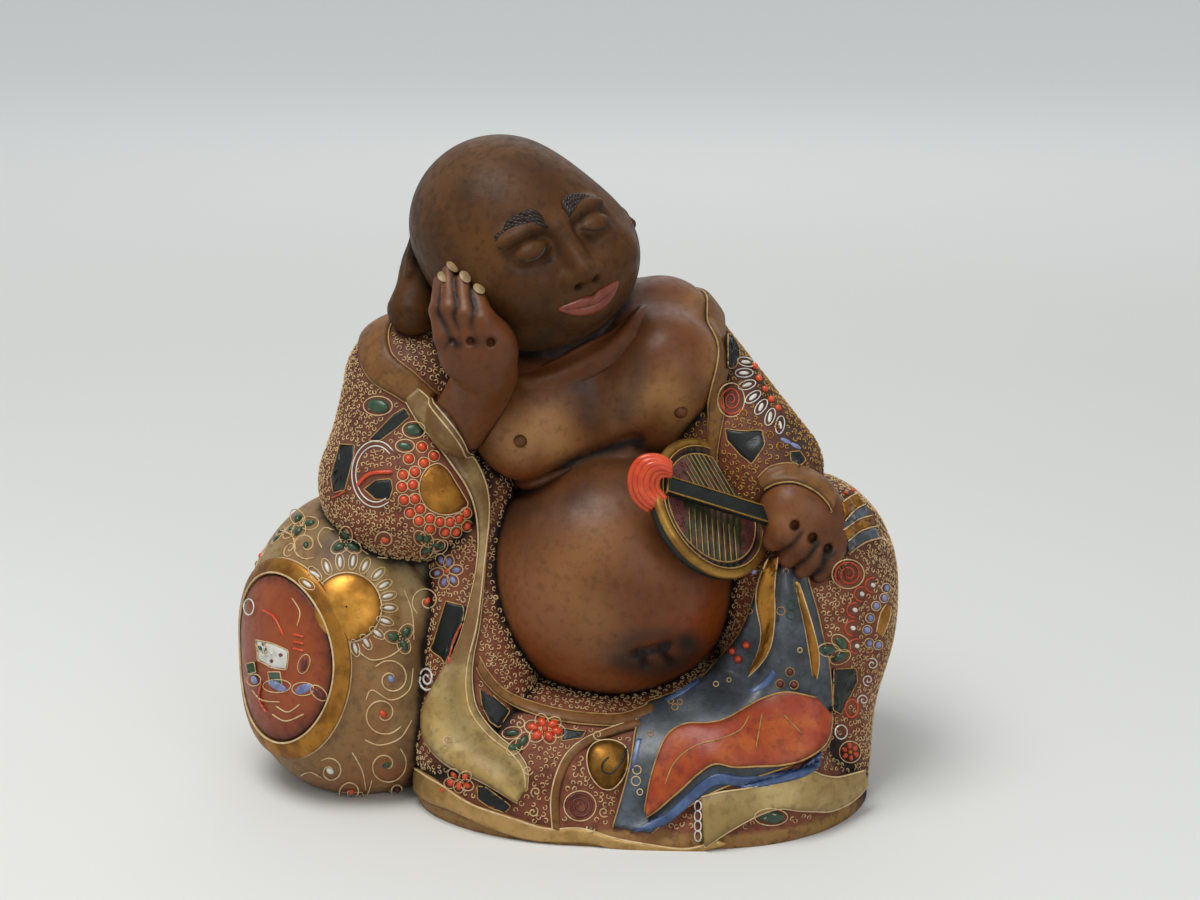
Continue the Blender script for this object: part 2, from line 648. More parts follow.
orange_paint = aged("orange_enamel", 0xC23C14, 0xD85A28, 0x8A260C, 0x30120A, 0.5, 0.4, 0.28, coat=0.5, bump=0.2, cloud=160.0)
coral_paint = aged("coral_enamel", 0x70301E, 0x88402C, 0x4E1E12, 0x30140C, 0.5, 0.5, 0.4, coat=0.3, bump=0.2, cloud=160.0)
panel_paint = aged("vermilion_panel", 0x863C18, 0x9E5026, 0x742C14, 0x3A1A10, 0.5, 0.5, 0.46, coat=0.1, bump=0.25, cloud=40.0,
                   stains=(("soot", 0x7A2A1C),))
lining_paint = aged("vermilion_lining", 0x8E3210, 0xB05A1C, 0x6A220C, 0x3C180C, 0.7, 0.6, 0.42, coat=0.15, bump=0.3, cloud=60.0,
                    stains=(("soot", 0x70301A),))
slate_paint = aged("slate_enamel", 0x383E42, 0x5C6470, 0x24282A, 0x101214, 0.7, 0.6, 0.34, coat=0.35, bump=0.35, cloud=70.0,
                   stains=(("blue", 0x2C4682),))
lavender_paint = aged("lavender_enamel", 0x6E76A0, 0x98A0C0, 0x4A4E70, 0x2A2A38, 0.5, 0.6, 0.35, coat=0.3, bump=0.2, cloud=160.0)
black_paint = aged("black_enamel", 0x101614, 0x1C2420, 0x080A08, 0x060606, 0.5, 0.5, 0.38, coat=0.1, bump=0.4, cloud=120.0)
green_paint = aged("green_enamel", 0x27402A, 0x3C5A3A, 0x162418, 0x0E140C, 0.5, 0.5, 0.3, coat=0.4, bump=0.3, cloud=160.0)
maroon_paint = aged("maroon_enamel", 0x5E2A26, 0x7A423A, 0x3C1816, 0x1C0C0A, 0.5, 0.5, 0.4, coat=0.2, bump=0.3, cloud=120.0)
leaf_paint = aged("fan_leaf_paint", 0x5A322E, 0x6E4640, 0x38201C, 0x14100C, 0.6, 0.6, 0.45, coat=0.15, bump=0.4, cloud=140.0,
                  stains=(("green", 0x353A22),))
nail_paint = aged("fingernail", 0x8A7450, 0xA08C66, 0x5E4A30, 0x2A1C10, 0.5, 0.5, 0.4, bump=0.2, cloud=160.0)
gold_paint = gilded("worn_gold", 0xA87430, 0x7E5220, 0x4E3216, 0.6)
curl_paint = aged("curl_slip", 0xC4A272, 0xD8BE94, 0x967048, 0x3A2818, 0.6, 0.5, 0.5, bump=0.2, cloud=60.0)
gold_curl_paint = aged("gold_curl_slip", 0xA88040, 0xC49C58, 0x6E5028, 0x2A1C10, 0.6, 0.5, 0.45, bump=0.2, cloud=60.0)
hair_paint = aged("dark_brow", 0x20150E, 0x34241A, 0x120C08, 0x080604, 0.5, 0.5, 0.4, bump=0.3, cloud=160.0)
blue_paint = aged("blue_enamel", 0x34466A, 0x587098, 0x1C2A48, 0x141820, 0.6, 0.5, 0.3, coat=0.4, bump=0.2, cloud=90.0)
sun_paint = gilded("bright_gold", 0xC48C3C, 0x946424, 0x6A451E, 0.4)
rim_paint = gilded("rim_gold", 0xA8803C, 0x7E5A2A, 0x4C3216, 0.75)
drop_paint = gilded("dark_gold", 0x8E6428, 0x5E3E18, 0x3A2412, 0.8)
hem_paint = gilded("gold_hem", 0xBC9860, 0x9A7844, 0x7A5832, 0.85)

# %% Floor
FLOOR_SPAN = 24.0


def paper_floor():
    """One wide flat sheet of white paper under the figure, a little cooler towards the back."""
    half = FLOOR_SPAN / 2
    mesh = bpy.data.meshes.new("paper_floor")
    mesh.from_pydata([(-half, -half, 0), (half, -half, 0), (half, half, 0), (-half, half, 0)], [], [(0, 1, 2, 3)])
    floor = bpy.data.objects.new("paper_floor", mesh)
    bpy.context.scene.collection.objects.link(floor)
    material, tree, shader = new_material("white_paper")
    place = node(tree, "ShaderNodeTexCoord").outputs["Object"]
    far = stepped(tree, node(tree, "ShaderNodeVectorMath", {0: place}, operation="LENGTH").outputs["Value"], 0.4, 2.4)
    near_tint = mixed(tree, noise(tree, place, 2.0), hue(0xCECECA), hue(0xD4D4D0))
    tint = mixed(tree, far, near_tint, hue(0xFAFCFA))
    tree.links.new(tint, shader.inputs["Base Color"])
    shader.inputs["Roughness"].default_value = 0.9
    mesh.materials.append(material)


paper_floor()

# %% [markdown]
# ## The clay masses
# These are the same ellipsoids and limbs that the solids are made of, so each fine surface lies on
# its solid. Belly, chest, breasts, shoulders and neck blend into one skin. Sleeves, knee, lap,
# skirt and back are the robe, and the sack is a bag that sags.

# %% Fields of skin, robe and sack


def turned_matrix(at, yaw, pitch, roll):
    """Turn about y by roll, then x by pitch, then z by yaw, then move."""
    y, x, r = (math.radians(v) for v in (yaw, pitch, roll))
    about_z = np.array([[math.cos(y), -math.sin(y), 0], [math.sin(y), math.cos(y), 0], [0, 0, 1]])
    about_x = np.array([[1, 0, 0], [0, math.cos(x), -math.sin(x)], [0, math.sin(x), math.cos(x)]])
    about_y = np.array([[math.cos(r), 0, math.sin(r)], [0, 1, 0], [-math.sin(r), 0, math.cos(r)]])
    matrix = np.eye(4)
    matrix[:3, :3], matrix[:3, 3] = about_z @ about_x @ about_y, at
    return matrix


BELLY_AT, BELLY_RADII = (19, -22, 95), (55, 53, 55)
HEAD = turned_matrix((-17, -14, 238), 24, -12, -18)
SACK_MIDDLE = np.array([-94.0, -4, 60])
SACK_REACH = 58.0

belly = ellipsoid(BELLY_AT, BELLY_RADII)
breasts = (ellipsoid((-15, -24, 162), (26, 23, 26)), ellipsoid((41, -22, 184), (25, 22, 24)))
shoulders = limb((-46, 4, 176), (40, 8, 192), 25, 25)
neck = limb((4, 0, 188), (-8, -8, 214), 28, 27)
upper_skin = blend(12, ellipsoid((15, 4, 166), (53, 40, 44)), shoulders, neck, *breasts)
skin = blend(4, upper_skin, belly)
skull = blend(16, ellipsoid((-6, 6, 9), (37, 43, 37)), ellipsoid((1, -6, -13), (41, 38, 34)))
plain_head = placed(skull, HEAD)

right_sleeve = blend(14, limb((-66, 2, 171), (-68, -8, 136), 30, 36), ellipsoid((-66, -8, 127), (38, 42, 29)))
left_sleeve = limb((47, 6, 180), (85, -26, 142), 26, 23)
knee = blend(20, ellipsoid((102, -12, 86), (41, 50, 48)), limb((104, -28, 60), (100, -40, 10), 30, 30))
lap = limb((-40, -16, 132), (-38, -46, 26), 18, 28)
skirt = blend(14, ellipsoid((-4, -44, 10), (62, 44, 42)), ellipsoid((66, -40, 10), (60, 54, 46)),
              ellipsoid((36, -36, 0), (92, 59, 15)))
plain_back = blend(60, ellipsoid((2, 26, 150), (72, 44, 55)), ellipsoid((2, 28, 48), (110, 63, 76)))
FURROW_RADIUS, FURROW_DEPTH = 16, 3.2
FURROWS = [[(-34, 72, 166), (-44, 90, 116), (-58, 96, 60), (-66, 90, 6)],
           [(-8, 76, 166), (-14, 94, 112), (-18, 100, 60), (-20, 94, 6)],
           [(16, 76, 166), (20, 94, 112), (24, 100, 60), (26, 94, 6)],
           [(42, 72, 166), (50, 90, 116), (62, 96, 60), (70, 90, 6)]]


def furrow(route):
    """Limbs along the back whose axis lies so high that they cut in by the furrow's depth."""
    foot = onto(plain_back, np.array(route, float), 12)
    axis = foot + outward(plain_back, foot) * (FURROW_RADIUS - FURROW_DEPTH)
    return [limb(a, b, FURROW_RADIUS, FURROW_RADIUS) for a, b in zip(axis[:-1], axis[1:])]


def nearest(*fields):
    """The union with sharp creases: the least of the fields."""
    return lambda p: np.minimum.reduce([field(p) for field in fields])


back = carve(3, plain_back, nearest(*(part for route in FURROWS for part in furrow(route))))
sack = blend(20, ellipsoid(SACK_MIDDLE, (49, SACK_REACH, 63)), ellipsoid((-89, -20, 30), (45, 42, 36)),
             limb((-66, -20, 103), (-59, -32, 84), 8, 6))
robe = blend(7, right_sleeve, left_sleeve, knee, lap, skirt, back)
drape = blend(20, knee, skirt, lap)
print("distance from the navel to the skin:", round(float(skin(np.array([[19.0, -75, 90]]))[0]), 2), "mm")


body_hollow = nearest(skin, back, skirt, knee, lap)
BODY_WALL, SACK_WALL, SACK_HOLE = 8, 7, limb((-89, 0, 60), (-89, 0, -7), 24, 24)
inside_body = lambda p: body_hollow(p) + BODY_WALL
inside_sack = lambda p: np.minimum(sack(p) + SACK_WALL, SACK_HOLE(p))


def hollowed(points, room):
    """Points that lie in the hollow go straight up to its ceiling, so the foot is open."""
    inside = room(points) < -0.5
    if inside.any():
        start = points[inside]
        rise, _ = march(lambda p: -room(p), start, np.repeat([[0.0, 0, 1]], len(start), 0), 200)
        points = points.copy()
        points[inside, 2] += rise
    return points


def crease_between(points, *neighbours, reach=4.0):
    """exp(-(distance / reach)^2) to the nearest neighbouring mass: dirt gathers in the seam."""
    near = np.minimum.reduce([np.abs(field(points)) for field in neighbours])
    return np.exp(-((near / reach) ** 2))


# %% [markdown]
# ## Chest and belly
# The skin is one smooth mass, but what makes it flesh is small: the fold under the breasts, the
# line between them, the navel drawn in like a knot. Each is a stroke: a path of pixels, how many
# millimetres it presses in or stands out, and how many pixels wide it is. The same strokes carry
# the dirt that lies in the folds, and wider ones paint the soot and the red clay.

# %% Torso
TORSO_MIDDLE = (15, -8, 130)
TORSO_FOLDS = [
    ([(600, 362), (606, 395), (610, 425), (618, 446)], -1.6, 13),
    ([(488, 486), (512, 492), (536, 487), (562, 468), (582, 458), (612, 448), (640, 440)], -2.0, 7),
    ([(636, 655), (652, 651), (668, 646)], -2.6, 4),
    ([(641, 653), (645, 666)], -2.2, 3.5),
    ([(665, 647), (664, 655), (672, 663)], -2.2, 3.5),
    ([(640, 632), (668, 628)], 0.9, 12),
    ([(520, 352), (556, 357), (590, 343), (612, 322)], -1.4, 6),
    ([(630, 440), (650, 452), (672, 455)], -1.2, 8),
]
TORSO_DIRT = [
    ([(488, 486), (512, 492), (536, 487), (562, 468), (582, 458), (612, 448), (640, 440)], 1.0, 6),
    ([(636, 655), (652, 651), (668, 646)], 1.1, 5),
    ([(641, 653), (645, 666)], 1.0, 4),
    ([(665, 647), (664, 655), (672, 663)], 1.0, 4),
    ([(520, 354), (556, 359), (590, 346), (612, 326)], 0.3, 6),
    ([(490, 500), (486, 560), (496, 620), (530, 670), (575, 702), (625, 706), (680, 690)], 0.8, 7),
    ([(640, 446), (668, 455), (700, 440)], 0.7, 6),
]
TORSO_SOOT = [
    ([(575, 375), (590, 400), (592, 420)], 0.75, 13),
    ([(640, 365), (632, 395), (622, 415)], 0.6, 12),
    ([(612, 655), (632, 664), (655, 668), (680, 662), (692, 648)], 0.85, 15),
    ([(628, 640), (655, 634), (682, 638)], 0.55, 10),
    ([(500, 515), (560, 500), (640, 470)], 0.55, 22),
    ([(520, 365), (600, 350), (640, 330)], 0.25, 16),
]
TORSO_GLOW = [
    ([(520, 440), (545, 425), (560, 445)], 1.0, 22),
    ([(640, 400), (665, 395), (680, 420)], 0.8, 22),
    ([(600, 540), (560, 580), (590, 620)], 0.35, 30),
    ([(700, 300), (720, 330), (716, 370)], 0.5, 16),
]
TORSO_WARM = [
    ([(520, 640), (570, 680), (640, 690), (700, 650)], 0.95, 42),
    ([(505, 470), (540, 478), (570, 455)], 0.6, 18),
    ([(700, 560), (720, 600), (700, 640)], 0.55, 30),
    ([(640, 430), (670, 445)], 0.5, 16),
]


def mass_piece(name, field, centre, size, slot, material, nodes, folds=(), marks=None, rear=(), foot=None):
    """A radial grid on a field, pressed along its normals by strokes drawn in the front view and,
    for rear, in the view from behind, with its masks."""
    points = radial_points(field, centre, *size)
    normals = outward(field, points)
    points = points + normals * (pressed(points, normals, folds) + pressed(points, normals, rear, 180))[:, None]
    if foot:
        points = hollowed(flat_foot(points), foot)
    values = {mark: np.clip(rule(points, normals), 0, 1) for mark, rule in (marks or {}).items()}
    return add_piece(name, points, radial_faces(*size), slot, material, nodes, values)


def dirt(strokes, *neighbours, reach=4.0):
    """A crease mask: the strokes, and the seams with neighbouring masses."""
    def rule(points, normals):
        seams = crease_between(points, *neighbours, reach=reach) if neighbours else 0
        return seams + pressed(points, normals, strokes)
    return rule


def painted(strokes):
    return lambda points, normals: pressed(points, normals, strokes)


torso = mass_piece(
    "torso_skin", skin, TORSO_MIDDLE, (230, 320), SKIN, skin_paint, ["torso"], TORSO_FOLDS,
    {"crease": dirt(TORSO_DIRT, plain_head, right_sleeve, left_sleeve, lap, skirt, knee, reach=3.5),
     "soot": painted(TORSO_SOOT), "warm": painted(TORSO_WARM), "glow": painted(TORSO_GLOW)}, foot=inside_body)

# %% [markdown]
# ## Rolls and nipples
# The fold under the breasts and the one at the neck are coils of clay pressed down at both
# sides. A ribbon does this: a grid along a route, as wide as the coil, whose height is a half
# circle across. Each point is first slid onto the skin, so the coil follows it exactly.

# %% Ribbons along a route
SHIFTS = np.linspace(-1, 1, 13)


def rounded(across, power=2.5):
    """(1 - |c|^power)^(1 / power): a half circle at 2, flatter on top above it."""
    return np.maximum(1 - np.abs(across) ** power, 0) ** (1 / power)


def ribbon_grid(field, route, widths, steps, shifts=SHIFTS):
    """route(s) + c w(s) / 2 sideways, slid onto the field, for steps of s and shifts of c."""
    middle = onto(field, smooth_path(onto(field, route), steps))
    normal = outward(field, middle, 1.0)
    ahead = np.gradient(middle, axis=0)
    side = np.cross(ahead, normal)
    side /= np.linalg.norm(side, axis=-1, keepdims=True)
    width = np.interp(np.linspace(0, 1, steps), np.linspace(0, 1, len(widths)), widths)
    spread = middle[:, None] + side[:, None] * (shifts[None, :, None] * width[:, None, None] / 2)
    base = onto(field, spread.reshape(-1, 3)).reshape(spread.shape)
    return base, outward(field, base, 1.0)


def ribbon(name, field, route, widths, steps, thickness, slot, material, nodes, power=2.5, profile=None, sink=1.6, dirt=1.0,
           ends=24):
    """A ribbon with a rounded section and dirt along both edges. Its ends are blunt at a high power
    and fade into the skin at a low one."""
    base, normals = ribbon_grid(field, route, widths, steps)
    along = np.linspace(-1, 1, steps)[:, None]
    shape = rounded(SHIFTS, power) if profile is None else profile(SHIFTS)
    heights = thickness * shape[None] * rounded(along, ends) - 0.15
    edge = dirt * np.abs(SHIFTS)[None] ** 6 + np.zeros((steps, 1))
    return laid_piece(name, base, normals, heights, slot, material, nodes, {"crease": edge}, sink)


neck_route = [(-30, -34, 186), (-14, -44, 188), (6, -42, 192), (24, -30, 200), (33, -12, 205)]
CHEST_CREASE = [(492, 488), (512, 493), (536, 489), (562, 471), (584, 460), (610, 450), (634, 442)]
soft_skin = blend(6, upper_skin, belly)


def soft_bump(across):
    """cos^2(pi c / 2): a roll whose edges run out flat."""
    return np.cos(across * np.pi / 2) ** 2


ribbon("neck_fold", soft_skin, neck_route, [5, 12, 14, 12, 4], 60, 3.2, SKIN, skin_paint, ["neck_roll"],
       profile=soft_bump, dirt=0.3, ends=1.5)


def crease_coil(name, pixels, radius, nodes, steps=70):
    """A coil pressed into the crease of chest and belly, which is found by going onto one and the
    other in turn. The tube's middle lies a little under the skin, and its ends are drawn out thin."""
    path = smooth_path(seen_on(skin, pixels), steps)
    for _ in range(8):
        path = onto(belly, onto(upper_skin, path))
    path = onto(skin, smooth_path(path[::5], steps))
    up = outward(blend(16, upper_skin, belly), path, 1.0)
    radii = radius * rounded(np.linspace(-1, 1, steps) * 0.995, 2.0)
    points, faces = tubes((path - up * radius * 0.25)[None], up[None], radii[None], 16, 0.85)
    add_piece(name, points, faces, SKIN, skin_paint, nodes, {"crease": 0.5 * np.exp(-((skin(points) / 0.5) ** 2))})


crease_coil("chest_fold", CHEST_CREASE, 3.1, ["chest_roll"])


def pellet(name, at, radius, height, slot, material, nodes, rows=12, columns=24):
    """A pressed pellet: rings of radius sin u and height cos u round a point of the skin."""
    at = onto(skin, np.array([at], float))[0]
    normal = outward(skin, at[None], 1.0)[0]
    side = np.cross(normal, (0, 0, 1))
    side /= np.linalg.norm(side)
    up = np.cross(side, normal)
    u = np.linspace(0, np.pi, rows + 2)[1:-1, None]
    v = np.linspace(0, 2 * np.pi, columns, endpoint=False)[None, :]
    flat = (side * (np.sin(u) * np.cos(v))[..., None] + up * (np.sin(u) * np.sin(v))[..., None]) * radius
    points = (at + flat + normal * (np.cos(u) + 0 * v)[..., None] * height).reshape(-1, 3)
    points = np.vstack([points, at + normal * height, at - normal * height])
    rim = np.concatenate([(0.5 * np.sin(u) ** 8 + 0 * v).ravel(), [0, 1]])
    return add_piece(name, points, radial_faces(rows, columns), slot, material, nodes, {"crease": rim})


pellet("right_nipple_pellet", (-19, -48, 160), 2.8, 2.7, SKIN, skin_paint, ["right_nipple"])
pellet("left_nipple_pellet", (48, -42, 169), 2.8, 2.7, SKIN, skin_paint, ["left_nipple"])

# %% [markdown]
# ## Head and face
# The face is a calm one on the proportions of drawing books: five eyes to the width, the eyes at
# half the height, the nose's base midway from brow to chin. Cheeks, lids, nose and chin are
# ellipsoids blended into the skull in the head's own frame, and the sockets are carved out.

# %% Head
EYE, EYE_HEIGHT, BROW_HEIGHT, CHIN_HEIGHT, FACE_DEPTH = 15.6, -0.5, 10.5, -47.0, -44.0
NOSE_BASE = (BROW_HEIGHT + CHIN_HEIGHT) / 2
MOUTH_HEIGHT = NOSE_BASE + (CHIN_HEIGHT - NOSE_BASE) / 3


def face_point(x, z, lift=0.0):
    """The point of the skull in front of (x, z), raised by lift."""
    at = onto(skull, np.array([[x, FACE_DEPTH, z]], float))
    return (at + outward(skull, at) * lift)[0]


def face_parts():
    """The skull with sockets carved, and cheeks, lids, nose, mouth mound and chin blended on."""
    face = skull
    for side in (-1, 1):
        face = carve(7, face, ellipsoid(face_point(side * EYE, EYE_HEIGHT + 1, 3.2), (9.5, 5.5, 6.5)))
    for side in (-1, 1):
        face = blend(9, face, ellipsoid(face_point(side * 1.42 * EYE, NOSE_BASE + 1, -6), (12, 10, 11)))
        face = blend(5, face, ellipsoid(face_point(side * EYE, BROW_HEIGHT - 1.5, -2.2), (11, 4.5, 3.2)))
        face = blend(1.6, face, ellipsoid(face_point(side * EYE, EYE_HEIGHT, -1.9), (8.2, 5.2, 5)))
    face = blend(7, face, ellipsoid(face_point(0, MOUTH_HEIGHT, -5), (14, 9, 8)))
    face = blend(7, face, ellipsoid(face_point(0, CHIN_HEIGHT + 8, -4), (10, 8, 7)))
    tip = face_point(0, NOSE_BASE + 4, 4.2)
    face = blend(5, face, limb(face_point(0, EYE_HEIGHT + 4, -1.4), tip, 2.6, 5.0))
    for side in (-1, 1):
        face = blend(3, face, ellipsoid(face_point(side * EYE / 2.7, NOSE_BASE + 2, 1.2), (3.6, 4.4, 3.3)))
        nostril = face_point(side * EYE / 4.2, NOSE_BASE - 1.4, 3.4)
        face = carve(1.2, face, ellipsoid(nostril, (1.5, 2.4, 1.3)))
    return face


def arc_on_face(side, points):
    return np.array([face_point(side * x, z) for x, z in points])


LID_LINE = [(EYE - 7.2, EYE_HEIGHT + 0.2), (EYE - 3.5, EYE_HEIGHT - 2.2), (EYE, EYE_HEIGHT - 2.9),
            (EYE + 3.8, EYE_HEIGHT - 2.0), (EYE + 7.4, EYE_HEIGHT + 0.8)]
LID_FOLD = [(EYE - 7.4, EYE_HEIGHT + 2.4), (EYE - 2, EYE_HEIGHT + 5.2), (EYE + 3, EYE_HEIGHT + 5.0), (EYE + 8, EYE_HEIGHT + 2)]
UNDER_LID = [(EYE - 6, EYE_HEIGHT - 5.4), (EYE, EYE_HEIGHT - 7.4), (EYE + 7, EYE_HEIGHT - 5)]
SMILE_FOLD = [(6.4, NOSE_BASE + 3.4), (10.5, NOSE_BASE - 1.5), (14, MOUTH_HEIGHT - 1), (15, MOUTH_HEIGHT - 6)]
PHILTRUM = [(0, NOSE_BASE - 2), (0, MOUTH_HEIGHT + 4)]
CHIN_FOLD = [(-6, MOUTH_HEIGHT - 7.4), (0, MOUTH_HEIGHT - 8.4), (6, MOUTH_HEIGHT - 7.4)]
WING_FOLD = [(6.6, NOSE_BASE + 6.2), (9.2, NOSE_BASE + 3), (8.6, NOSE_BASE - 0.6)]
FACE_LINES = [(arc_on_face(side, line), depth, width) for side in (-1, 1) for line, depth, width in (
    (LID_LINE, 0.9, 0.8), (LID_FOLD, 0.5, 0.9), (UNDER_LID, 0.45, 1.2), (SMILE_FOLD, 0.9, 1.6), (WING_FOLD, 0.5, 0.9))]
FACE_LINES += [(arc_on_face(1, PHILTRUM), 0.6, 1.5), (arc_on_face(1, CHIN_FOLD), 0.7, 2.2)]


def head_piece():
    """The radial grid of the face field in the head's frame, drawn with lines, then turned."""
    size = (250, 300)
    face = face_parts()
    points = radial_points(face, (0, 0, 0), *size)
    normals = outward(face, points)
    crease = np.zeros(len(points))
    for path, depth, width in FACE_LINES:
        near = (np.abs(points - path.mean(0)) < np.ptp(path, axis=0) / 2 + 4 * width + 3).all(1)
        away = path_distance(points[near], smooth_path(path, 24) if len(path) > 2 else path)
        points[near] -= normals[near] * (depth * np.exp(-((away / width) ** 2)))[:, None]
        crease[near] += np.exp(-((away / (width * 0.9)) ** 2)) * min(depth, 0.85)
    for side in (-1, 1):
        socket = np.linalg.norm((points - face_point(side * EYE, EYE_HEIGHT)) / (11, 8, 7.5), axis=-1)
        crease += 0.35 * np.exp(-(((socket - 1) / 0.25) ** 2))
        nostril = np.linalg.norm(points - face_point(side * EYE / 4.2, NOSE_BASE - 1.4, 1.4), axis=-1)
        crease += np.exp(-((nostril / 2.2) ** 2))
    world_points = points @ HEAD[:3, :3].T + HEAD[:3, 3]
    crease += 0.6 * crease_between(world_points, upper_skin, reach=3.0)
    soot = 0.55 * np.exp(-(((points[:, 2] + 38) / 12) ** 2)) * (points[:, 1] < 0)
    soot += 0.5 * np.clip((points[:, 2] - 12) / 25, 0, 1)
    marks = {"crease": np.clip(crease, 0, 1), "soot": np.clip(soot, 0, 1), "warm": np.zeros(len(points))}
    nodes = ["head", "nose", "right_eyelid", "left_eyelid"]
    return add_piece("head_and_face", world_points, radial_faces(*size), SKIN, head_paint, nodes, marks)


head_piece()


def on_head(points):
    return np.asarray(points, float) @ HEAD[:3, :3].T + HEAD[:3, 3]


def lip_paths():
    """Upper and lower lip as thickened paths over the face, turned up at the corners."""
    face = face_parts()
    share = np.linspace(-1, 1, 25)
    reach = EYE * 0.88
    parts = []
    for rise, bow, radius in ((0.9, 1.0, 2.3), (-2.7, 0.0, 2.7)):
        x = share * reach
        z = MOUTH_HEIGHT + rise * (1 - share**2) + 2.2 * share**2 - bow * np.exp(-((share / 0.16) ** 2))
        start = np.stack([x, np.full(25, FACE_DEPTH - 8), z], axis=-1)
        far, _ = march(face, start, np.repeat([[0.0, 1, 0]], 25, 0), 60)
        path = start + far[:, None] * np.array([0, 1, 0])
        up = outward(face, path, 1.0)
        radii = radius * (1 - 0.78 * np.abs(share) ** 2.2)
        parts.append((path + up * radii[:, None] * 0.1, up, radii))
    return parts


for (path, up, radii), label in zip(lip_paths(), ("upper_lip", "lower_lip")):
    points, faces = tubes(on_head(path)[None], (up @ HEAD[:3, :3].T)[None], radii[None], 12, 0.85)
    add_piece(label + "_paint", points, faces, VERMILION, coral_paint, [label])


def lash_lines():
    """Thin dark lines where the lids close, one for each eye."""
    parts = []
    for side in (-1, 1):
        path = smooth_path(np.array([face_point(side * x, z, 2.2) for x, z in LID_LINE]), 24)
        path = onto(face_parts(), path, 3)
        up = outward(skull, path, 1.0)
        radii = 0.42 * rounded(np.linspace(-1, 1, 24) * 0.98, 2.5)
        parts.append(tubes(on_head(path)[None], (up @ HEAD[:3, :3].T)[None], radii[None], 6))
    return together(*parts)


add_piece("eyelid_lines", *lash_lines(), BLACK, hair_paint)


def brow_strands(side):
    """A brow as combed strands: each starts along the brow line and leans out and up."""
    rng = np.random.default_rng(7 if side > 0 else 8)
    strands, ups, radii = [], [], []
    for row in range(4):
        for k in range(12):
            start = 0.34 + k * 0.125
            x0, x1 = side * EYE * start, side * EYE * (start + 0.32)
            arch = lambda s: BROW_HEIGHT + 2.6 * math.sin(min(max((s - 0.3) / 1.4, 0), 1) * math.pi) - 2.6
            z0 = arch(start) + row * 1.5 - 1.4 + rng.normal(0, 0.25)
            z1 = arch(start + 0.3) + row * 1.9 + 1.0 - 1.5 * (start > 1.3) + rng.normal(0, 0.4)
            ends = np.array([face_point(x0, z0, 0.5), face_point((x0 + x1) / 2, (z0 + z1) / 2 + 0.6, 1.0), face_point(x1, z1, 0.5)])
            path = smooth_path(ends, 9)
            strands.append(on_head(path))
            ups.append(np.repeat(outward(skull, path[4:5], 1.0) @ HEAD[:3, :3].T, 9, 0))
            radii.append(0.95 * np.sin(np.linspace(0.35, 2.9, 9)))
    return tubes(np.array(strands), np.array(ups), np.array(radii), 6, 0.9)


for side, label in ((-1, "right_brow"), (1, "left_brow")):
    add_piece(label + "_hair", *brow_strands(side), BLACK, hair_paint, [label])

# %% [markdown]
# ## Ears and hands
# Ears and hands are not star-shaped, so rays from a middle point would miss parts of them. Here
# the field is sampled on a box of points instead, and a net is drawn where its sign changes. A
# finger is two limbs that meet at the knuckle. Fingers that touch get only a tiny blend, so a
# crease stays between them.

# %% Ears
EAR_DETAIL = 1.1


def ear_field(near, fall, inset, length, lobe, hole, hole_radii, across=(1, 0, 0)):
    """Two tapering limbs down from the head, less a hollow, with a rolled rim round it. Without
    a given place, the hollow lies where a ray from the side meets the upper limb."""
    root = onto(plain_head, np.array([near], float))
    top = (root - outward(plain_head, root) * inset)[0]
    foot = top + np.array(fall, float) / np.linalg.norm(fall) * length
    middle = (top + foot) / 2
    body = blend(8, limb(top, middle, 8, 7), limb(middle, foot, 7, lobe))
    if hole is None:
        start = (top + 0.3 * (foot - top) + (40, 0, 0))[None]
        hole = start[0] - (march(body, start, np.array([[-1.0, 0, 0]]), 70)[0][0], 0, 0)
    aim = np.array(hole, float)
    rim = smooth_path(onto(body, np.array([k * 5.6 * np.array(across, float) + (0, 0, s * 9.5) for k, s in ((-1, -1.2), (-1, .2), (0, 1), (1, .3), (1, -.8))]) + aim), 7)
    rims = [limb(a, b, 1.9, 1.9) for a, b in zip(rim[:-1], rim[1:])]
    return carve(2, blend(2.5, body, *rims), ellipsoid(aim, hole_radii)), aim


def netted_piece(name, field, low, high, step, slot, material, nodes, creases):
    points, faces = netted(field, low, high, step)
    marks = {"crease": np.clip(creases(points), 0, 1), "soot": np.zeros(len(points)), "warm": np.zeros(len(points))}
    return add_piece(name, points, faces, slot, material, nodes, marks)


def pit(at, radius):
    """A dark pit: exp(-(distance / radius)^2)."""
    return lambda p: np.exp(-(np.linalg.norm(p - at, axis=-1) / radius) ** 2)


plain_ear = blend(8, limb((-60, 2, 248), (-62, -4, 228), 8, 7), limb((-62, -4, 228), (-66, -8, 212), 7, 11))
right_hole = seen_on(plain_ear, [(424, 246)])[0]
right_ear, _ = ear_field((-56, 2, 240), (-7, -12, -33), 7, 36, 11, right_hole, (3.2, 6, 6.5))
netted_piece("right_ear_clay", right_ear, (-84, -28, 190), (-42, 20, 256), EAR_DETAIL, SKIN, head_paint, ["right_ear"],
             lambda p: 1.3 * pit(right_hole, 6)(p) + 0.8 * crease_between(p, plain_head, reach=2.5))
left_ear, left_hole = ear_field((26, 12, 244), (2, -2, -28), 1, 29, 8.8, None, (3.6, 3.4, 7), (0, 1, 0))
netted_piece("left_ear_clay", left_ear, (8, -12, 198), (50, 32, 262), EAR_DETAIL, SKIN, head_paint, ["left_ear"],
             lambda p: pit(left_hole, 5)(p) + 0.8 * crease_between(p, plain_head, reach=2.5))

# %% [markdown]
# The right hand lies flat against the cheek, so its fingertips are found by rays onto the head.
# The wrist crease, the three dimples at the knuckles and the nails are what make it a hand.

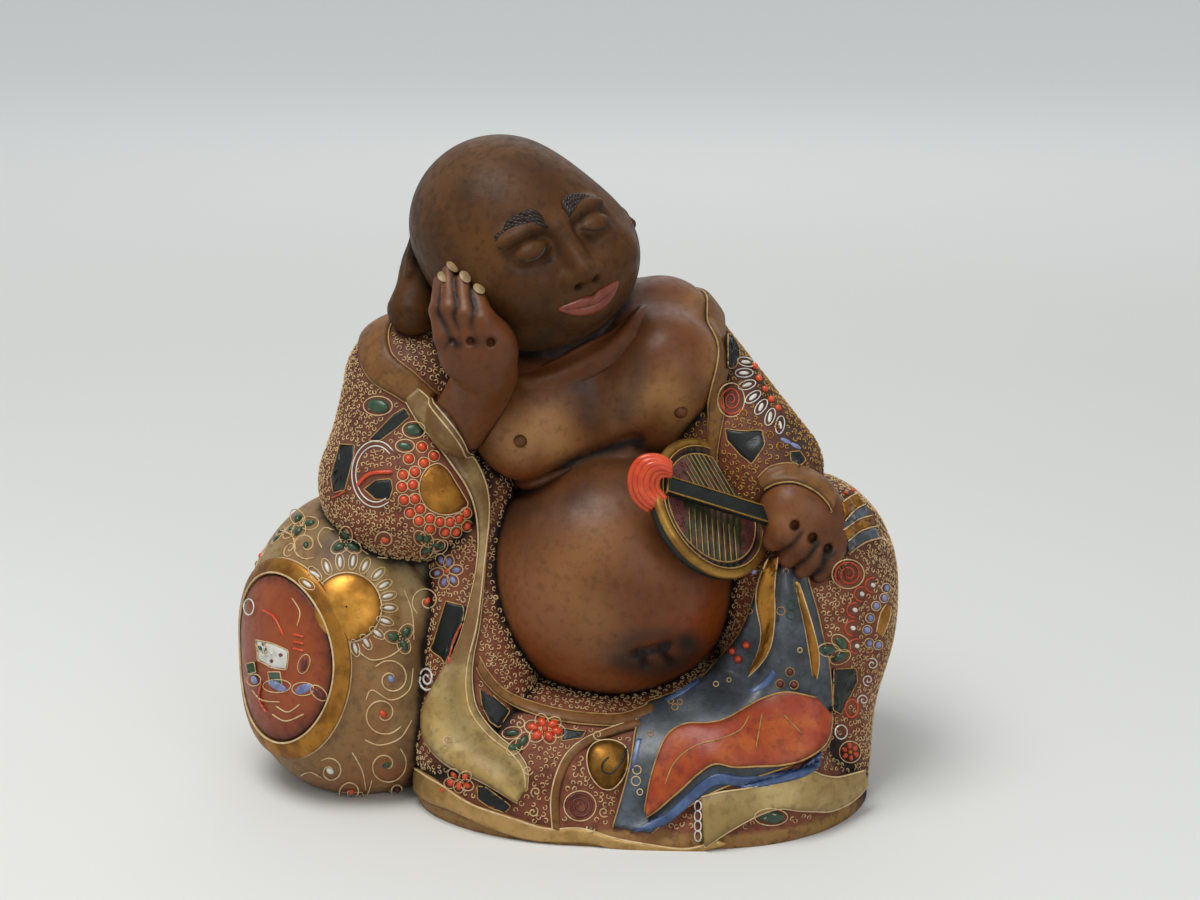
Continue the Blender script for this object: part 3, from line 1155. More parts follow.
# %% Right hand and wrist
HAND_STEP = 0.85
RIGHT_NAILS = [(443, 280), (452, 271), (465, 281), (479, 294)]
RIGHT_KNUCKLES = [(444, 336), (456, 342), (474, 343), (493, 341)]
RIGHT_DIMPLES = [(452, 342), (470, 342), (491, 343)]
cheek = onto(plain_head, np.array([[-36.0, -56, 215]]))[0]
palm_at = cheek + (0.5, -6.3, -10.8)
wrist = palm_at + (0, 9, -14.4)


def finger_field(roots, middles, tips, radii, seam):
    """Each finger is two limbs, root to middle to tip, and the fingers are joined by a tiny blend."""
    fingers = [blend(2, limb(a, b, r[0], r[1]), limb(b, c, r[1], r[2])) for a, b, c, r in zip(roots, middles, tips, radii)]
    return fingers, blend(seam, *fingers)


tips = seen_on(plain_head, RIGHT_NAILS)
tips = tips + outward(plain_head, tips) * 1.6
roots = at_depth(RIGHT_KNUCKLES, palm_at[1] - 1.5)
middles = (tips + roots) / 2 + (-0.6, -3.6, 0)
right_radii = [(4.4, 4.1, 2.7), (4.5, 4.3, 3.0), (4.9, 4.6, 3.4), (5.4, 4.8, 3.6)]
right_fingers, right_finger_field = finger_field(roots, middles, tips, right_radii, 0.9)
palm_middle = at_depth([(474, 352)], palm_at[1] + 1)[0]
palm = blend(10, ellipsoid(palm_middle, (14.5, 8.5, 14)), ellipsoid(at_depth([(492, 352)], palm_at[1] + 3)[0], (9, 8, 13)))
forearm = limb((-42, -33, 166), wrist + (1, -1, -2), 13.5, 12.5)
right_hand = blend(5, right_finger_field, palm)
right_hand = blend(3, right_hand, forearm)
for dimple in at_depth(RIGHT_DIMPLES, palm_at[1] - 8.5):
    right_hand = carve(1.2, right_hand, ellipsoid(dimple, (1.7, 3.6, 1.9)))


def finger_creases(fingers, pits, reach=1.6):
    """Dark where the second nearest finger is almost as near as the nearest, and in the pits."""
    def rule(p):
        near = np.sort(np.abs(np.stack([finger(p) for finger in fingers])), axis=0)
        return np.exp(-(near[1] / reach) ** 2) + sum(pit(at, 2.2)(p) for at in pits)
    return rule


right_pits = onto(right_hand, at_depth(RIGHT_DIMPLES, palm_at[1] - 8.5))
netted_piece("right_hand_and_wrist", right_hand, (-64, -74, 150), (-14, -8, 236), HAND_STEP, SKIN, skin_paint,
             ["right_hand", "right_forearm"],
             lambda p: finger_creases(right_fingers, right_pits)(p) + crease_between(p, plain_head, upper_skin, reach=2.2))

# %% [markdown]
# The left hand rests on the knee, its fingers curled down round the fan's handle.

# %% Left hand
LEFT_KNUCKLES = [(793, 521), (809, 532), (824, 543), (833, 545)]
LEFT_TIPS = [(772, 541), (788, 558), (803, 570), (819, 574)]
LEFT_DIMPLES = [(795, 526), (813, 539), (829, 550)]
left_roots = at_depth(LEFT_KNUCKLES, -54)
left_tips = at_depth(LEFT_TIPS, -58)
left_middles = (left_roots + left_tips) / 2 + (0.6, -3.5, 1.6)
left_radii = [(7.0, 6.2, 4.2), (6.6, 5.8, 4.2), (6.2, 5.4, 4.0), (6.0, 5.2, 3.8)]
left_fingers, left_finger_field = finger_field(left_roots, left_middles, left_tips, left_radii, 0.8)
left_palm = blend(9, ellipsoid((98, -50, 126), (16, 12.5, 17)), ellipsoid(at_depth([(789, 505)], -50)[0], (11, 11, 11)),
                  ellipsoid(at_depth([(822, 525)], -48)[0], (10, 12, 14)))
left_hand = blend(4, left_finger_field, left_palm)
for dimple in at_depth(LEFT_DIMPLES, -64.5):
    left_hand = carve(1.4, left_hand, ellipsoid(dimple, (2.0, 4.5, 2.2)))
left_pits = onto(left_hand, at_depth(LEFT_DIMPLES, -63))
netted_piece("left_hand_clay", left_hand, (72, -78, 94), (122, -30, 152), HAND_STEP, SKIN, skin_paint, ["left_hand"],
             lambda p: finger_creases(left_fingers, left_pits)(p) + crease_between(p, left_sleeve, knee, reach=2.5))


def nail_patch(at, normal, up, wide, long):
    """A domed oval: r (sin v wide, cos v long) in the plane of the finger, raised by 1 - r^2."""
    normal = normal / np.linalg.norm(normal)
    side = np.cross(up, normal)
    side /= np.linalg.norm(side)
    along = np.cross(normal, side)
    r = np.linspace(0.05, 1, 6)[:, None]
    v = np.linspace(0, 2 * np.pi, 18, endpoint=False)[None, :]
    flat = (side * (r * np.sin(v))[..., None] * wide) + (along * (r * np.cos(v))[..., None] * long)
    points = at + flat + normal * ((1 - r**2) * 0.7 + 0 * v)[..., None]
    return points.reshape(-1, 3), strip_faces(6, 18, True).tolist()


nails = []
for tip, finger in zip(seen_on(right_hand, [(443, 277), (452, 267), (465, 277), (479, 289)]), right_fingers):
    normal = outward(finger, tip[None])[0]
    nails.append(nail_patch(tip + normal * 0.25, normal, np.array([0, 0, 1.0]), 2.3, 3.0))
add_piece("fingernails", *together(*nails), SKIN, nail_paint)

# %% [markdown]
# ## Robe and sack
# The robe hangs in thick folds, the sack is stuffed and pleated at its neck. Strokes press the
# folds in: some are drawn in the front view, some in the view from behind.

# %% Masses of the robe and the sack
FRONT_FOLDS = [
    ([(752, 438), (775, 425), (800, 428), (822, 452)], -1.2, 6),
    ([(765, 400), (784, 392), (806, 412)], -1.0, 6),
    ([(842, 492), (862, 505), (886, 520)], 1.5, 6),
    ([(846, 512), (866, 523), (890, 536)], -1.6, 5),
    ([(850, 528), (868, 537), (892, 549)], 1.3, 5),
    ([(852, 545), (868, 550), (890, 560)], -1.4, 5),
    ([(866, 590), (872, 640), (852, 700), (838, 760)], -1.5, 9),
    ([(338, 500), (372, 512), (414, 512)], -1.2, 9),
    ([(541, 830), (545, 800), (552, 775), (545, 745)], -1.3, 7),
    ([(560, 838), (566, 806), (571, 780), (577, 752)], 1.3, 8),
    ([(655, 840), (676, 822), (694, 800)], -1.6, 7),
    ([(430, 800), (455, 780), (480, 800)], 0.9, 8),
    ([(706, 852), (716, 836), (740, 826), (790, 822), (838, 816)], -1.6, 5),
]
ROBE_SOOT = [
    ([(414, 700), (425, 745), (480, 800), (560, 835)], 0.25, 9),
    ([(740, 330), (770, 390), (800, 440)], 0.9, 40),
    ([(840, 490), (870, 520), (884, 560)], 0.7, 22),
    ([(350, 370), (372, 400), (340, 450)], 0.6, 34),
    ([(400, 330), (420, 350), (440, 380)], 0.6, 16),
]


FOOT_BAND = 7.0


def robe_piece(name, field, centre, size, *neighbours):
    marks = {"crease": dirt([], *neighbours, reach=3.0), "soot": painted(ROBE_SOOT),
             "foot": lambda points, normals: (FOOT_BAND - points[:, 2]) / 1.2}
    return mass_piece(name + "_cloth", field, centre, size, ROBE, robe_paint, [name], FRONT_FOLDS, marks, foot=inside_body)


for name, data in {
    "right_sleeve": (right_sleeve, (-66, -4, 145), (150, 230), skin, sack, lap, back),
    "left_sleeve": (left_sleeve, (68, -10, 160), (120, 190), skin, knee, back, plain_head),
    "left_knee": (knee, (103, -18, 70), (170, 240), belly, left_sleeve, skirt, back),
    "right_lap": (lap, (-39, -30, 80), (130, 170), skin, right_sleeve, sack, skirt),
    "front_skirt": (skirt, (34, -38, 14), (160, 320), belly, knee, lap, sack),
    "back_of_robe": (back, (2, 28, 90), (200, 320), right_sleeve, left_sleeve, knee, sack, plain_head),
}.items():
    robe_piece(name, *data)

SACK_FOLDS = [
    ([(402, 530), (412, 556), (432, 582)], -2.6, 6),
    ([(392, 560), (402, 590), (404, 640)], -1.8, 8),
    ([(372, 548), (362, 580), (372, 610)], -1.0, 10),
    ([(420, 535), (434, 556), (441, 590)], 1.4, 5),
    ([(300, 500), (318, 498), (330, 505)], -1.2, 8),
    ([(412, 600), (424, 640), (420, 700)], -1.2, 8),
]
SACK_WARM = [([(372, 640), (388, 700), (386, 770)], 0.75, 30), ([(330, 780), (370, 790), (400, 780)], 0.6, 20)]
SACK_SOOT = [([(330, 545), (390, 550), (415, 575)], 0.8, 18), ([(405, 640), (408, 700), (404, 760)], 0.5, 10)]
mass_piece("sack_bag", sack, SACK_MIDDLE, (200, 290), SACK, sack_paint, ["sack"], SACK_FOLDS,
           {"crease": dirt([], right_sleeve, lap, back, skirt, reach=3.0), "warm": painted(SACK_WARM), "soot": painted(SACK_SOOT)},
           [([(560, 500), (600, 560), (620, 660)], -1.0, 12)], inside_sack)

# %% [markdown]
# ## Bands, folds and sash
# The bands of the robe are flat strips of clay with a drawn line along each edge. Each is a sheet
# laid between two edges seen in the front view, or a ribbon along a route. The sash is a cloth
# with soft folds, so its height changes across as well as along it.

# %% Sheets between two edges
def seen_sheet(field, left, right, rows, columns, turn=0):
    """Points of a field on rays between two pixel edges: rows along them, columns across."""
    one, two = smooth_path(left, rows), smooth_path(right, rows)
    t = np.linspace(0, 1, columns)[None, :, None]
    pixels = one[:, None] * (1 - t) + two[:, None] * t
    base = seen_on(field, pixels.reshape(-1, 2), turn).reshape(rows, columns, 3)
    return base, outward(field, base, 1.0)


def edge_line(base, normals, heights, column, radius, steps=90):
    """A trailed line along one column of a sheet, standing on its surface."""
    share = column * (base.shape[1] - 1)
    low, part = int(share), share - int(share)
    high = min(low + 1, base.shape[1] - 1)
    top = base + normals * heights[..., None]
    path = top[:, low] * (1 - part) + top[:, high] * part
    up = normals[:, low]
    path = smooth_path(path, steps)
    ups = np.stack([np.interp(np.linspace(0, 1, steps), np.linspace(0, 1, len(up)), up[:, k]) for k in range(3)], -1)
    return tubes(path[None], ups[None], np.full((1, steps), radius), 5)


def sheet(name, base, normals, thickness, slot, material, nodes=(), power=6.0, folds=None, edges=(), edge_paint=None, sink=1.6, soot=None):
    """A laid sheet with rounded edges, folds in millimetres over (along, across), and lines."""
    rows, columns = base.shape[:2]
    across, along = np.linspace(-1, 1, columns)[None], np.linspace(-1, 1, rows)[:, None]
    heights = thickness * rounded(across, power) * rounded(along, 30) - 0.2
    if folds is not None:
        heights = heights + folds((along + 1) / 2, (across + 1) / 2) * rounded(across, power)
    crease = np.abs(across) ** 8 + 0 * along
    if folds is not None:
        dip = np.gradient(np.gradient(heights, axis=1), axis=1)
        crease = crease + np.clip(dip * 2.5, 0, 0.5)
    marks = {"crease": np.clip(crease, 0, 1)}
    if soot is not None:
        marks["soot"] = np.clip(soot((along + 1) / 2, (across + 1) / 2), 0, 1)
    laid_piece(name, base, normals, heights, slot, material, nodes, marks, sink)
    if edges:
        lines = [edge_line(base, normals, heights, column, radius) for column, radius in edges]
        add_piece(name + "_lines", *together(*lines), slot, edge_paint)


soft_robe = blend(8, right_sleeve, lap, skirt, back, knee, left_sleeve)
over_arm = blend(6, soft_robe, forearm)
LAPEL_LEFT = [(404, 398), (417, 422), (435, 442), (450, 465), (465, 487), (474, 510), (478, 540), (476, 570), (470, 600),
              (458, 645), (437, 682), (424, 710), (424, 735), (433, 752), (452, 768), (480, 781), (505, 795), (517, 803)]
LAPEL_RIGHT = [(417, 386), (442, 407), (460, 430), (470, 452), (482, 475), (487, 497), (487, 530), (485, 560), (483, 590),
               (480, 625), (475, 655), (474, 680), (478, 705), (490, 725), (505, 740), (518, 750), (529, 768), (528, 790)]


def lapel_folds(along, across):
    """A broad dip down the middle of the fold where the lapel spreads at the hem."""
    spread = np.clip((along - 0.62) / 0.12, 0, 1)
    return spread * (1.6 * np.sin(across * 2.2 * np.pi + 0.5) - 1.0)


base, normals = seen_sheet(over_arm, LAPEL_LEFT, LAPEL_RIGHT, 150, 26)
sheet("lapel_and_hem_fold", base, normals, 3.4, CREAM, tan_to_cream, ["right_lapel", "right_hem_fold"], 4, lapel_folds,
      [(0.02, 0.55), (0.86, 0.4), (0.97, 0.4)], slip_paint, soot=lambda a, c: 0.95 * np.clip((0.74 - a) / 0.12, 0, 1) + 0 * c)

SHOULDER_ROUTE = [(-6, 52, 194), (-34, 42, 198), (-58, 26, 202), (-76, 4, 192), (-76, -14, 183), (-67, -24, 177), (-57, -28, 170)]
shoulder_base, shoulder_normals = ribbon_grid(blend(6, robe, upper_skin), SHOULDER_ROUTE, [15, 19, 20, 19, 17, 15, 11], 80)
sheet("shoulder_band_clay", shoulder_base, shoulder_normals, 2.6, TAN, tan_paint, ["shoulder_band"], 5, None,
      [(0.03, 0.45), (0.97, 0.45)], dark_slip_paint)
LEFT_BAND_ROUTE = [(-6, 53, 194), (14, 49, 196), (30, 42, 200), (52, 24, 202), (63, -2, 202), (63, -19, 195), (62.5, -33, 182), (62, -35, 164), (63, -36, 146)]
band_base, band_normals = ribbon_grid(blend(6, robe, skin), LEFT_BAND_ROUTE, [15, 13, 12, 12, 12, 11.5, 10.5, 7, 3], 90)
sheet("left_band_clay", band_base, band_normals, 2.4, TAN, tan_paint, ["left_band"], 5, None, [(0.04, 0.4), (0.96, 0.4)], dark_slip_paint)
CUFF_UPPER = [(757, 478), (770, 466), (790, 463), (812, 471), (828, 484), (834, 496)]
CUFF_LOWER = [(765, 491), (777, 486), (795, 485), (814, 493), (826, 504), (831, 513)]
cuff_base, cuff_normals = seen_sheet(blend(6, left_sleeve, left_palm, knee), CUFF_UPPER, CUFF_LOWER, 70, 14)
sheet("left_cuff_clay", cuff_base, cuff_normals, 3.0, TAN, tan_paint, ["left_cuff"], 3, None, [(0.04, 0.45), (0.96, 0.4)], dark_slip_paint)
BELT_UPPER = [(480, 655), (488, 670), (502, 687), (525, 700), (555, 709), (590, 714), (623, 714), (655, 702)]
BELT_LOWER = [(476, 668), (484, 682), (500, 698), (522, 711), (553, 721), (590, 726), (625, 726), (657, 714)]
belt_base, belt_normals = seen_sheet(blend(8, lap, skirt, knee), BELT_UPPER, BELT_LOWER, 80, 12)
sheet("belt_band_clay", belt_base, belt_normals, 2.2, TAN, tan_paint, ["belt_band"], 3, None, [(0.1, 0.35), (0.95, 0.4)], dark_slip_paint)

HEM_UPPER = [(415, 765), (430, 775), (442, 782), (472, 802), (515, 817), (547, 827), (580, 827), (613, 837), (647, 843), (687, 847), (718, 838)]
HEM_LOWER = [(414, 790), (430, 803), (455, 812), (490, 828), (530, 840), (560, 842), (590, 844), (625, 851), (655, 854), (690, 854), (728, 843)]
on_floor, _ = seen_sheet(nearest(skirt, lambda p: p[..., 2]), HEM_UPPER, HEM_LOWER, 110, 14)
hem_base = flat_foot(onto(skirt, on_floor.reshape(-1, 3))).reshape(on_floor.shape)
hem_normals = outward(skirt, hem_base, 1.0)
sheet("hem_band_clay", hem_base, hem_normals, 2.0, GOLD, hem_paint, ["hem_band"], 3, None, [(0.08, 0.45)], slip_paint)
INNER_HEM = [(552, 830), (550, 800), (555, 775), (566, 753), (585, 738), (613, 727), (640, 719)]
INNER_HEM_FAR = [(562, 832), (560, 802), (564, 778), (575, 759), (592, 745), (618, 735), (644, 728)]
inner_base, inner_normals = seen_sheet(blend(8, skirt, lap), INNER_HEM, INNER_HEM_FAR, 70, 10)
sheet("inner_hem_clay", inner_base, inner_normals, 2.2, GOLD, tan_paint, ["inner_hem_band"], 2.5, None, [(0.1, 0.4)], slip_paint)

FOLD_TOP = [(700, 795), (722, 790), (747, 787), (765, 783), (780, 778), (793, 771), (807, 769), (820, 774), (835, 776), (850, 773), (863, 770)]
FOLD_FOOT = [(704, 848), (722, 836), (747, 822), (765, 813), (780, 809), (795, 811), (812, 812), (828, 812), (845, 806), (857, 797), (866, 785)]


def hem_waves(along, across):
    """Two soft waves along the turned hem."""
    return 1.3 * np.sin(along * 11 + across * 1.5) * (0.4 + across * 0.6)


fold_base, fold_normals = seen_sheet(blend(14, skirt, knee), FOLD_TOP, FOLD_FOOT, 90, 20)
sheet("left_hem_fold_clay", fold_base, fold_normals, 3.0, CREAM, cream_paint, ["left_hem_fold"], 3.5, hem_waves,
      [(0.04, 0.5), (0.96, 0.5)], slip_paint, soot=lambda a, c: 0.3 + 0 * a * c)

SASH_LEFT = [(765, 560), (758, 590), (748, 620), (735, 643), (720, 662), (700, 682), (680, 693), (660, 700), (643, 706), (634, 730), (630, 760), (622, 792), (612, 828)]
SASH_RIGHT = [(804, 562), (811, 588), (818, 612), (823, 635), (829, 660), (832, 690), (832, 720), (829, 745), (808, 760), (770, 774), (730, 786), (690, 806), (652, 834)]


def sash_folds(along, across):
    """Gathered pleats at the top that fan out and fade, and a sunken lower part for the lining."""
    pleats = 1.5 * np.sin(across * 15 + along * 3.0) * np.clip((0.62 - along) / 0.3, 0, 1)
    waves = 0.8 * np.sin(along * 16 + across * 5) * np.clip((along - 0.3) / 0.3, 0, 1)
    return pleats + waves


sash_base, sash_normals = seen_sheet(drape, SASH_LEFT, SASH_RIGHT, 150, 60)
sheet("sash_cloth_clay", sash_base, sash_normals, 2.6, SLATE, slate_paint, ["sash_cloth"], 8, sash_folds,
      [(0.015, 0.45), (0.985, 0.45)], dark_slip_paint)
LINING_TOP = [(646, 812), (652, 780), (658, 760), (665, 743), (674, 733), (688, 727), (706, 727), (724, 723), (744, 711), (762, 700), (786, 691), (814, 696)]
LINING_FOOT = [(648, 818), (660, 810), (672, 800), (686, 788), (700, 776), (716, 767), (735, 770), (756, 769), (780, 768), (802, 762), (822, 745), (829, 716)]
lining_base, lining_normals = seen_sheet(drape, LINING_TOP, LINING_FOOT, 100, 30)
lining_base = lining_base + lining_normals * 2.9
sheet("sash_lining_clay", lining_base, lining_normals, 2.6, VERMILION, lining_paint, ["sash_lining"], 4,
      lambda a, c: 1.2 * np.sin(a * 14 + c * 2.4) * (0.3 + c), [(0.03, 0.5), (0.97, 0.5)], dark_slip_paint)


def seen_patch(field, outline, rings, columns, turn=0, lift=0.0):
    """Rings between the middle of a closed pixel outline and the outline itself."""
    rim = smooth_path(outline, columns, closed=True)
    middle = rim.mean(0)
    share = np.linspace(0.02, 1, rings)[:, None, None]
    base = seen_on(field, (middle + share * (rim - middle)).reshape(-1, 2), turn).reshape(rings, columns, 3)
    normals = outward(field, base, 1.0)
    return base + normals * lift, normals


def patch_mesh(base, normals, heights, sink=1.2):
    """The rings raised by heights, and a sunk copy of them, joined at the rim."""
    rings, columns = base.shape[:2]
    rows = np.concatenate([base + normals * heights[..., None], (base - normals * sink)[::-1]])
    return rows.reshape(-1, 3), strip_faces(2 * rings, columns, True).tolist()


def dome(rings, height, power=2.0):
    return (height * rounded(np.linspace(0, 1, rings), power) - 0.15)[:, None]


DROP = [(587, 757), (592, 745), (603, 740), (616, 741), (626, 748), (628, 762), (623, 778), (612, 789), (600, 787), (590, 774)]
drop_base, drop_normals = seen_patch(blend(8, skirt, lap), DROP, 16, 48)
points, faces = patch_mesh(drop_base, drop_normals, dome(16, 5.0) + np.zeros((16, 48)))
add_piece("gold_drop", points, faces, GOLD, drop_paint, ["gold_fold"])

# %% [markdown]
# ## The fan
# The fan is drawn in its own frame: x runs along the handle towards the hand, z out of the leaf.
# Its dish and rim are profiles turned about z. The leaf is painted in plum and green, with
# trailed stripes that lean one way above the handle and the other way below it.

# %% Fan frame
FAN_RADIUS, FAN_DEPTH, FAN_RIM, FAN_SEAT, LEAF_RECESS = 31.0, 9.0, 4.5, 2.0, 1.5
facing = np.array([0.62, -0.535, 0.575])
facing /= np.linalg.norm(facing)
handle_side = np.cross(facing, (0.784, 0.399, -0.473))
handle_side /= np.linalg.norm(handle_side)
handle_way = np.cross(handle_side, facing)
fan_base = onto(skin, (np.array(BELLY_AT) + facing * 57)[None], 12)[0] + (1, -1, 3)
FAN_TOP = FAN_SEAT + FAN_DEPTH
LEAF_RADIUS, LEAF_TOP = FAN_RADIUS - FAN_RIM, FAN_TOP - LEAF_RECESS


def in_fan(points):
    """Fan coordinates to drawing coordinates."""
    points = np.asarray(points, float)
    return fan_base + points[..., :1] * handle_way + points[..., 1:2] * handle_side + points[..., 2:] * facing


def lathe(profile, columns=120):
    """(r, z) pairs carried round the fan's axis."""
    profile = np.asarray(profile, float)
    v = np.linspace(0, 2 * np.pi, columns, endpoint=False)[None, :]
    r, z = profile[:, :1], profile[:, 1:]
    return np.stack([r * np.cos(v), r * np.sin(v), z + 0 * v], axis=-1)


def lathe_piece(name, profile, slot, material, nodes, crease, columns=120):
    grid = lathe(smooth_path(profile, 40), columns)
    points = in_fan(grid.reshape(-1, 3))
    marks = {"crease": np.clip(crease(grid[..., 0], grid[..., 1], grid[..., 2]).ravel(), 0, 1)}
    return add_piece(name, points, strip_faces(40, columns, True).tolist(), slot, material, nodes, marks)


lathe_piece("fan_dish_clay", [(0.3, 2.0), (14, 2.0), (23, 2.1), (28, 2.8), (29.9, 4.8), (30.2, 6.8), (29.6, 8.2), (20, 8.4), (0.3, 8.4)],
            SLATE, black_paint, ["fan_dish"], lambda x, y, z: 0.5 * (z < 3))
lathe_piece("fan_rim_clay", [(26.9, 7.9), (28.6, 7.6), (30.4, 8.0), (31.0, 9.2), (30.6, 10.5), (29.3, 11.2), (27.9, 10.9), (26.9, 9.9), (26.6, 8.8), (26.9, 7.9)],
            GOLD, rim_paint, ["fan_rim"], lambda x, y, z: (np.hypot(x, y) < 27.4) + 0.5 * (z < 8.2))


def fan_leaf_piece():
    """A disc whose height ripples with the stripes. Green lies between two scalloped edges."""
    r = np.linspace(0.01, 1, 60)[:, None] * (LEAF_RADIUS + 0.3)
    v = np.linspace(0, 2 * np.pi, 200, endpoint=False)[None, :]
    x, y = r * np.cos(v), r * np.sin(v)
    scallop = 2.2 * np.abs(np.sin(y * 0.42))
    green = stair(x + scallop, -13.5, -12.3) * (1 - stair(x - scallop, 14.5, 15.8))
    along = np.where(y > 0, x * 0.66 + y * 0.75, x)
    ripple = 0.3 * np.sin(along * 2 * np.pi / 3.4) * green
    groove = -0.9 * np.exp(-(((r - LEAF_RADIUS + 1.4) / 0.8) ** 2)) + 0 * v
    top = np.stack([x, y, LEAF_TOP + ripple + groove], axis=-1)
    under = np.stack([x, y, LEAF_TOP - 1.6 + 0 * x], axis=-1)[::-1]
    points = in_fan(np.concatenate([top, under]).reshape(-1, 3))
    marks = {"green": np.concatenate([green.ravel(), green[::-1].ravel()]),
             "crease": np.clip(np.concatenate([(-groove - ripple * 1.2).ravel(), (-groove).ravel()]), 0, 1)}
    add_piece("fan_leaf_clay", points, strip_faces(120, 200, True).tolist(), MOSS, leaf_paint, ["fan_leaf"], marks)


def stair(value, low, high):
    t = np.clip((value - low) / (high - low), 0, 1)
    return t * t * (3 - 2 * t)


fan_leaf_piece()


def fan_lines():
    """Stripes cut off at the leaf's edge and at the scallops, and a ring inside the rim."""
    parts = []
    edge = LEAF_RADIUS - 2.4
    for k in range(12):
        x = -12.5 + 3.4 * 0.9 * k
        for side in (1, -1):
            lean = -0.88 if side > 0 else 0.08
            y = np.linspace(4.6, 30, 60) * side
            line = np.stack([x + lean * (np.abs(y) - 4.6) + (5.5 if side > 0 else 0), y], axis=-1)
            line = line[(np.hypot(line[:, 0], line[:, 1]) < edge) & (line[:, 0] > -13.8) & (line[:, 0] < 15)]
            if len(line) > 4:
                line = smooth_path(line, 14)
                path = in_fan(np.column_stack([line, np.full(14, LEAF_TOP + 0.28)]))
                parts.append(tubes(path[None], np.repeat(facing[None, None], 14, 1), 0.24 + np.zeros((1, 14)), 4))
    for radius, height, thick in ((LEAF_RADIUS - 2.6, LEAF_TOP + 0.2, 0.34), (FAN_RADIUS - 2.4 - 1.6, FAN_TOP - 0.1, 0.3)):
        v = np.linspace(0, 2 * np.pi, 120, endpoint=False)
        ring = in_fan(np.stack([radius * np.cos(v), radius * np.sin(v), height + 0 * v], axis=-1))
        parts.append(tubes(ring[None], np.repeat(facing[None, None], 120, 1), thick, 5, closed=True))
    return together(*parts)


add_piece("fan_stripes", *fan_lines(), MOSS, dark_slip_paint)
rng = np.random.default_rng(3)


def scribbles(count):
    """Small open loops on the plum parts of the leaf."""
    x = np.concatenate([rng.uniform(-23, -14.5, count), rng.uniform(16, 22, count // 2)])
    y = rng.uniform(-17, 17, len(x))
    keep = (np.hypot(x, y) < LEAF_RADIUS - 4) & (np.abs(y) > 5.5)
    x, y = x[keep], y[keep]
    turn = rng.uniform(0, 2 * np.pi, len(x))[:, None] + np.linspace(0, 4.4, 9)[None]
    size = np.linspace(1.3, 0.5, 9)[None]
    path = np.stack([x[:, None] + size * np.cos(turn), y[:, None] + size * np.sin(turn), np.full(turn.shape, LEAF_TOP + 0.2)], axis=-1)
    return tubes(in_fan(path), np.broadcast_to(facing, path.shape), 0.22 + np.zeros(turn.shape), 4)


add_piece("fan_scribbles", *scribbles(60), MOSS, maroon_paint)
handle_start = in_fan((-LEAF_RADIUS, 0, LEAF_TOP + 1.8))
handle_end = np.array([98.0, -51, 124]) * 0.9 + handle_start * 0.1


def handle_section(width, height, power):
    """Points round a rounded box: cos and sin raised to 2 / power, with their signs kept."""
    angle = np.linspace(0, 2 * np.pi, 24, endpoint=False)
    wave = lambda v: np.sign(v) * np.abs(v) ** (2 / power)
    return wave(np.cos(angle)) * width / 2, wave(np.sin(angle)) * height / 2


def handle_piece():
    across, up = handle_section(7.5, 3.6, 5)
    way = handle_end - handle_start
    side = np.cross(facing, way)
    side /= np.linalg.norm(side)
    top = np.cross(way, side)
    top /= np.linalg.norm(top)
    t = np.linspace(0, 1, 60)
    taper = np.minimum(1, np.minimum(t, 1 - t) * 60 + 0.75)
    centre = handle_start + t[:, None] * way
    grid = centre[:, None] + side * (across * taper[:, None])[..., None] + top * (up * taper[:, None])[..., None]
    points = np.vstack([grid.reshape(-1, 3), centre[:1], centre[-1:]])
    faces = radial_faces(60, 24)
    add_piece("fan_handle_clay", points, faces, BLACK, black_paint, ["fan_handle"])
    lines = []
    for edge in (-3.5, 3.5):
        path = centre + side * edge + top * 1.75
        lines.append(tubes(path[None], np.repeat(top[None, None], 60, 1), 0.42 + np.zeros((1, 60)), 5))
    hoop = handle_start + way * 0.006 + side * (across * 1.06)[:, None] + top * (up * 1.12)[:, None]
    lines.append(tubes(hoop[None], np.repeat(way[None, None] / np.linalg.norm(way), 24, 1), 0.55 + np.zeros((1, 24)), 5, closed=True))
    add_piece("fan_handle_edges", *together(*lines), BLACK, rim_paint)


handle_piece()

# %% [markdown]
# The tassel is six cords that leave the handle together, swing up and over, and hang in a hook.

# %% Tassel
CORDS = 6
TASSEL_OUTER = [(672, 464), (657, 457), (640, 460), (631, 477), (635, 497), (650, 511)]
TASSEL_INNER = [(672, 476), (665, 474), (658, 477), (656, 486), (660, 494), (666, 499)]


def tassel_cords():
    outer, inner = smooth_path(TASSEL_OUTER, 40), smooth_path(TASSEL_INNER, 40)
    paths, ups = [], []
    for share in np.linspace(0, 1, CORDS):
        pixels = outer * (1 - share) + inner * share
        depth = handle_start[1] - 1.5 - 2.4 * math.sin(math.pi * share) - 2.0 * np.linspace(0, 1, 40)
        start, ray = view_rays(pixels)
        path = start + ray * ((depth - start[:, 1]) / ray[:, 1])[:, None]
        paths.append(path)
        ups.append(np.repeat([[0.0, -1, 0.2]], 40, 0))
    radii = 1.55 * rounded(np.linspace(-1, 1, 40) * 0.99, 5)
    return tubes(np.array(paths), np.array(ups), np.repeat(radii[None], CORDS, 0), 12)


add_piece("fan_tassel_cords", *tassel_cords(), VERMILION, orange_paint, ["fan_tassel"])

# %% [markdown]
# ## The sack's panel and sun
# Round ornaments on the sack are drawn as if on a map: a distance and a bearing from the middle
# of the ornament become an angle at the sack's centre, and a ray finds the sack there.

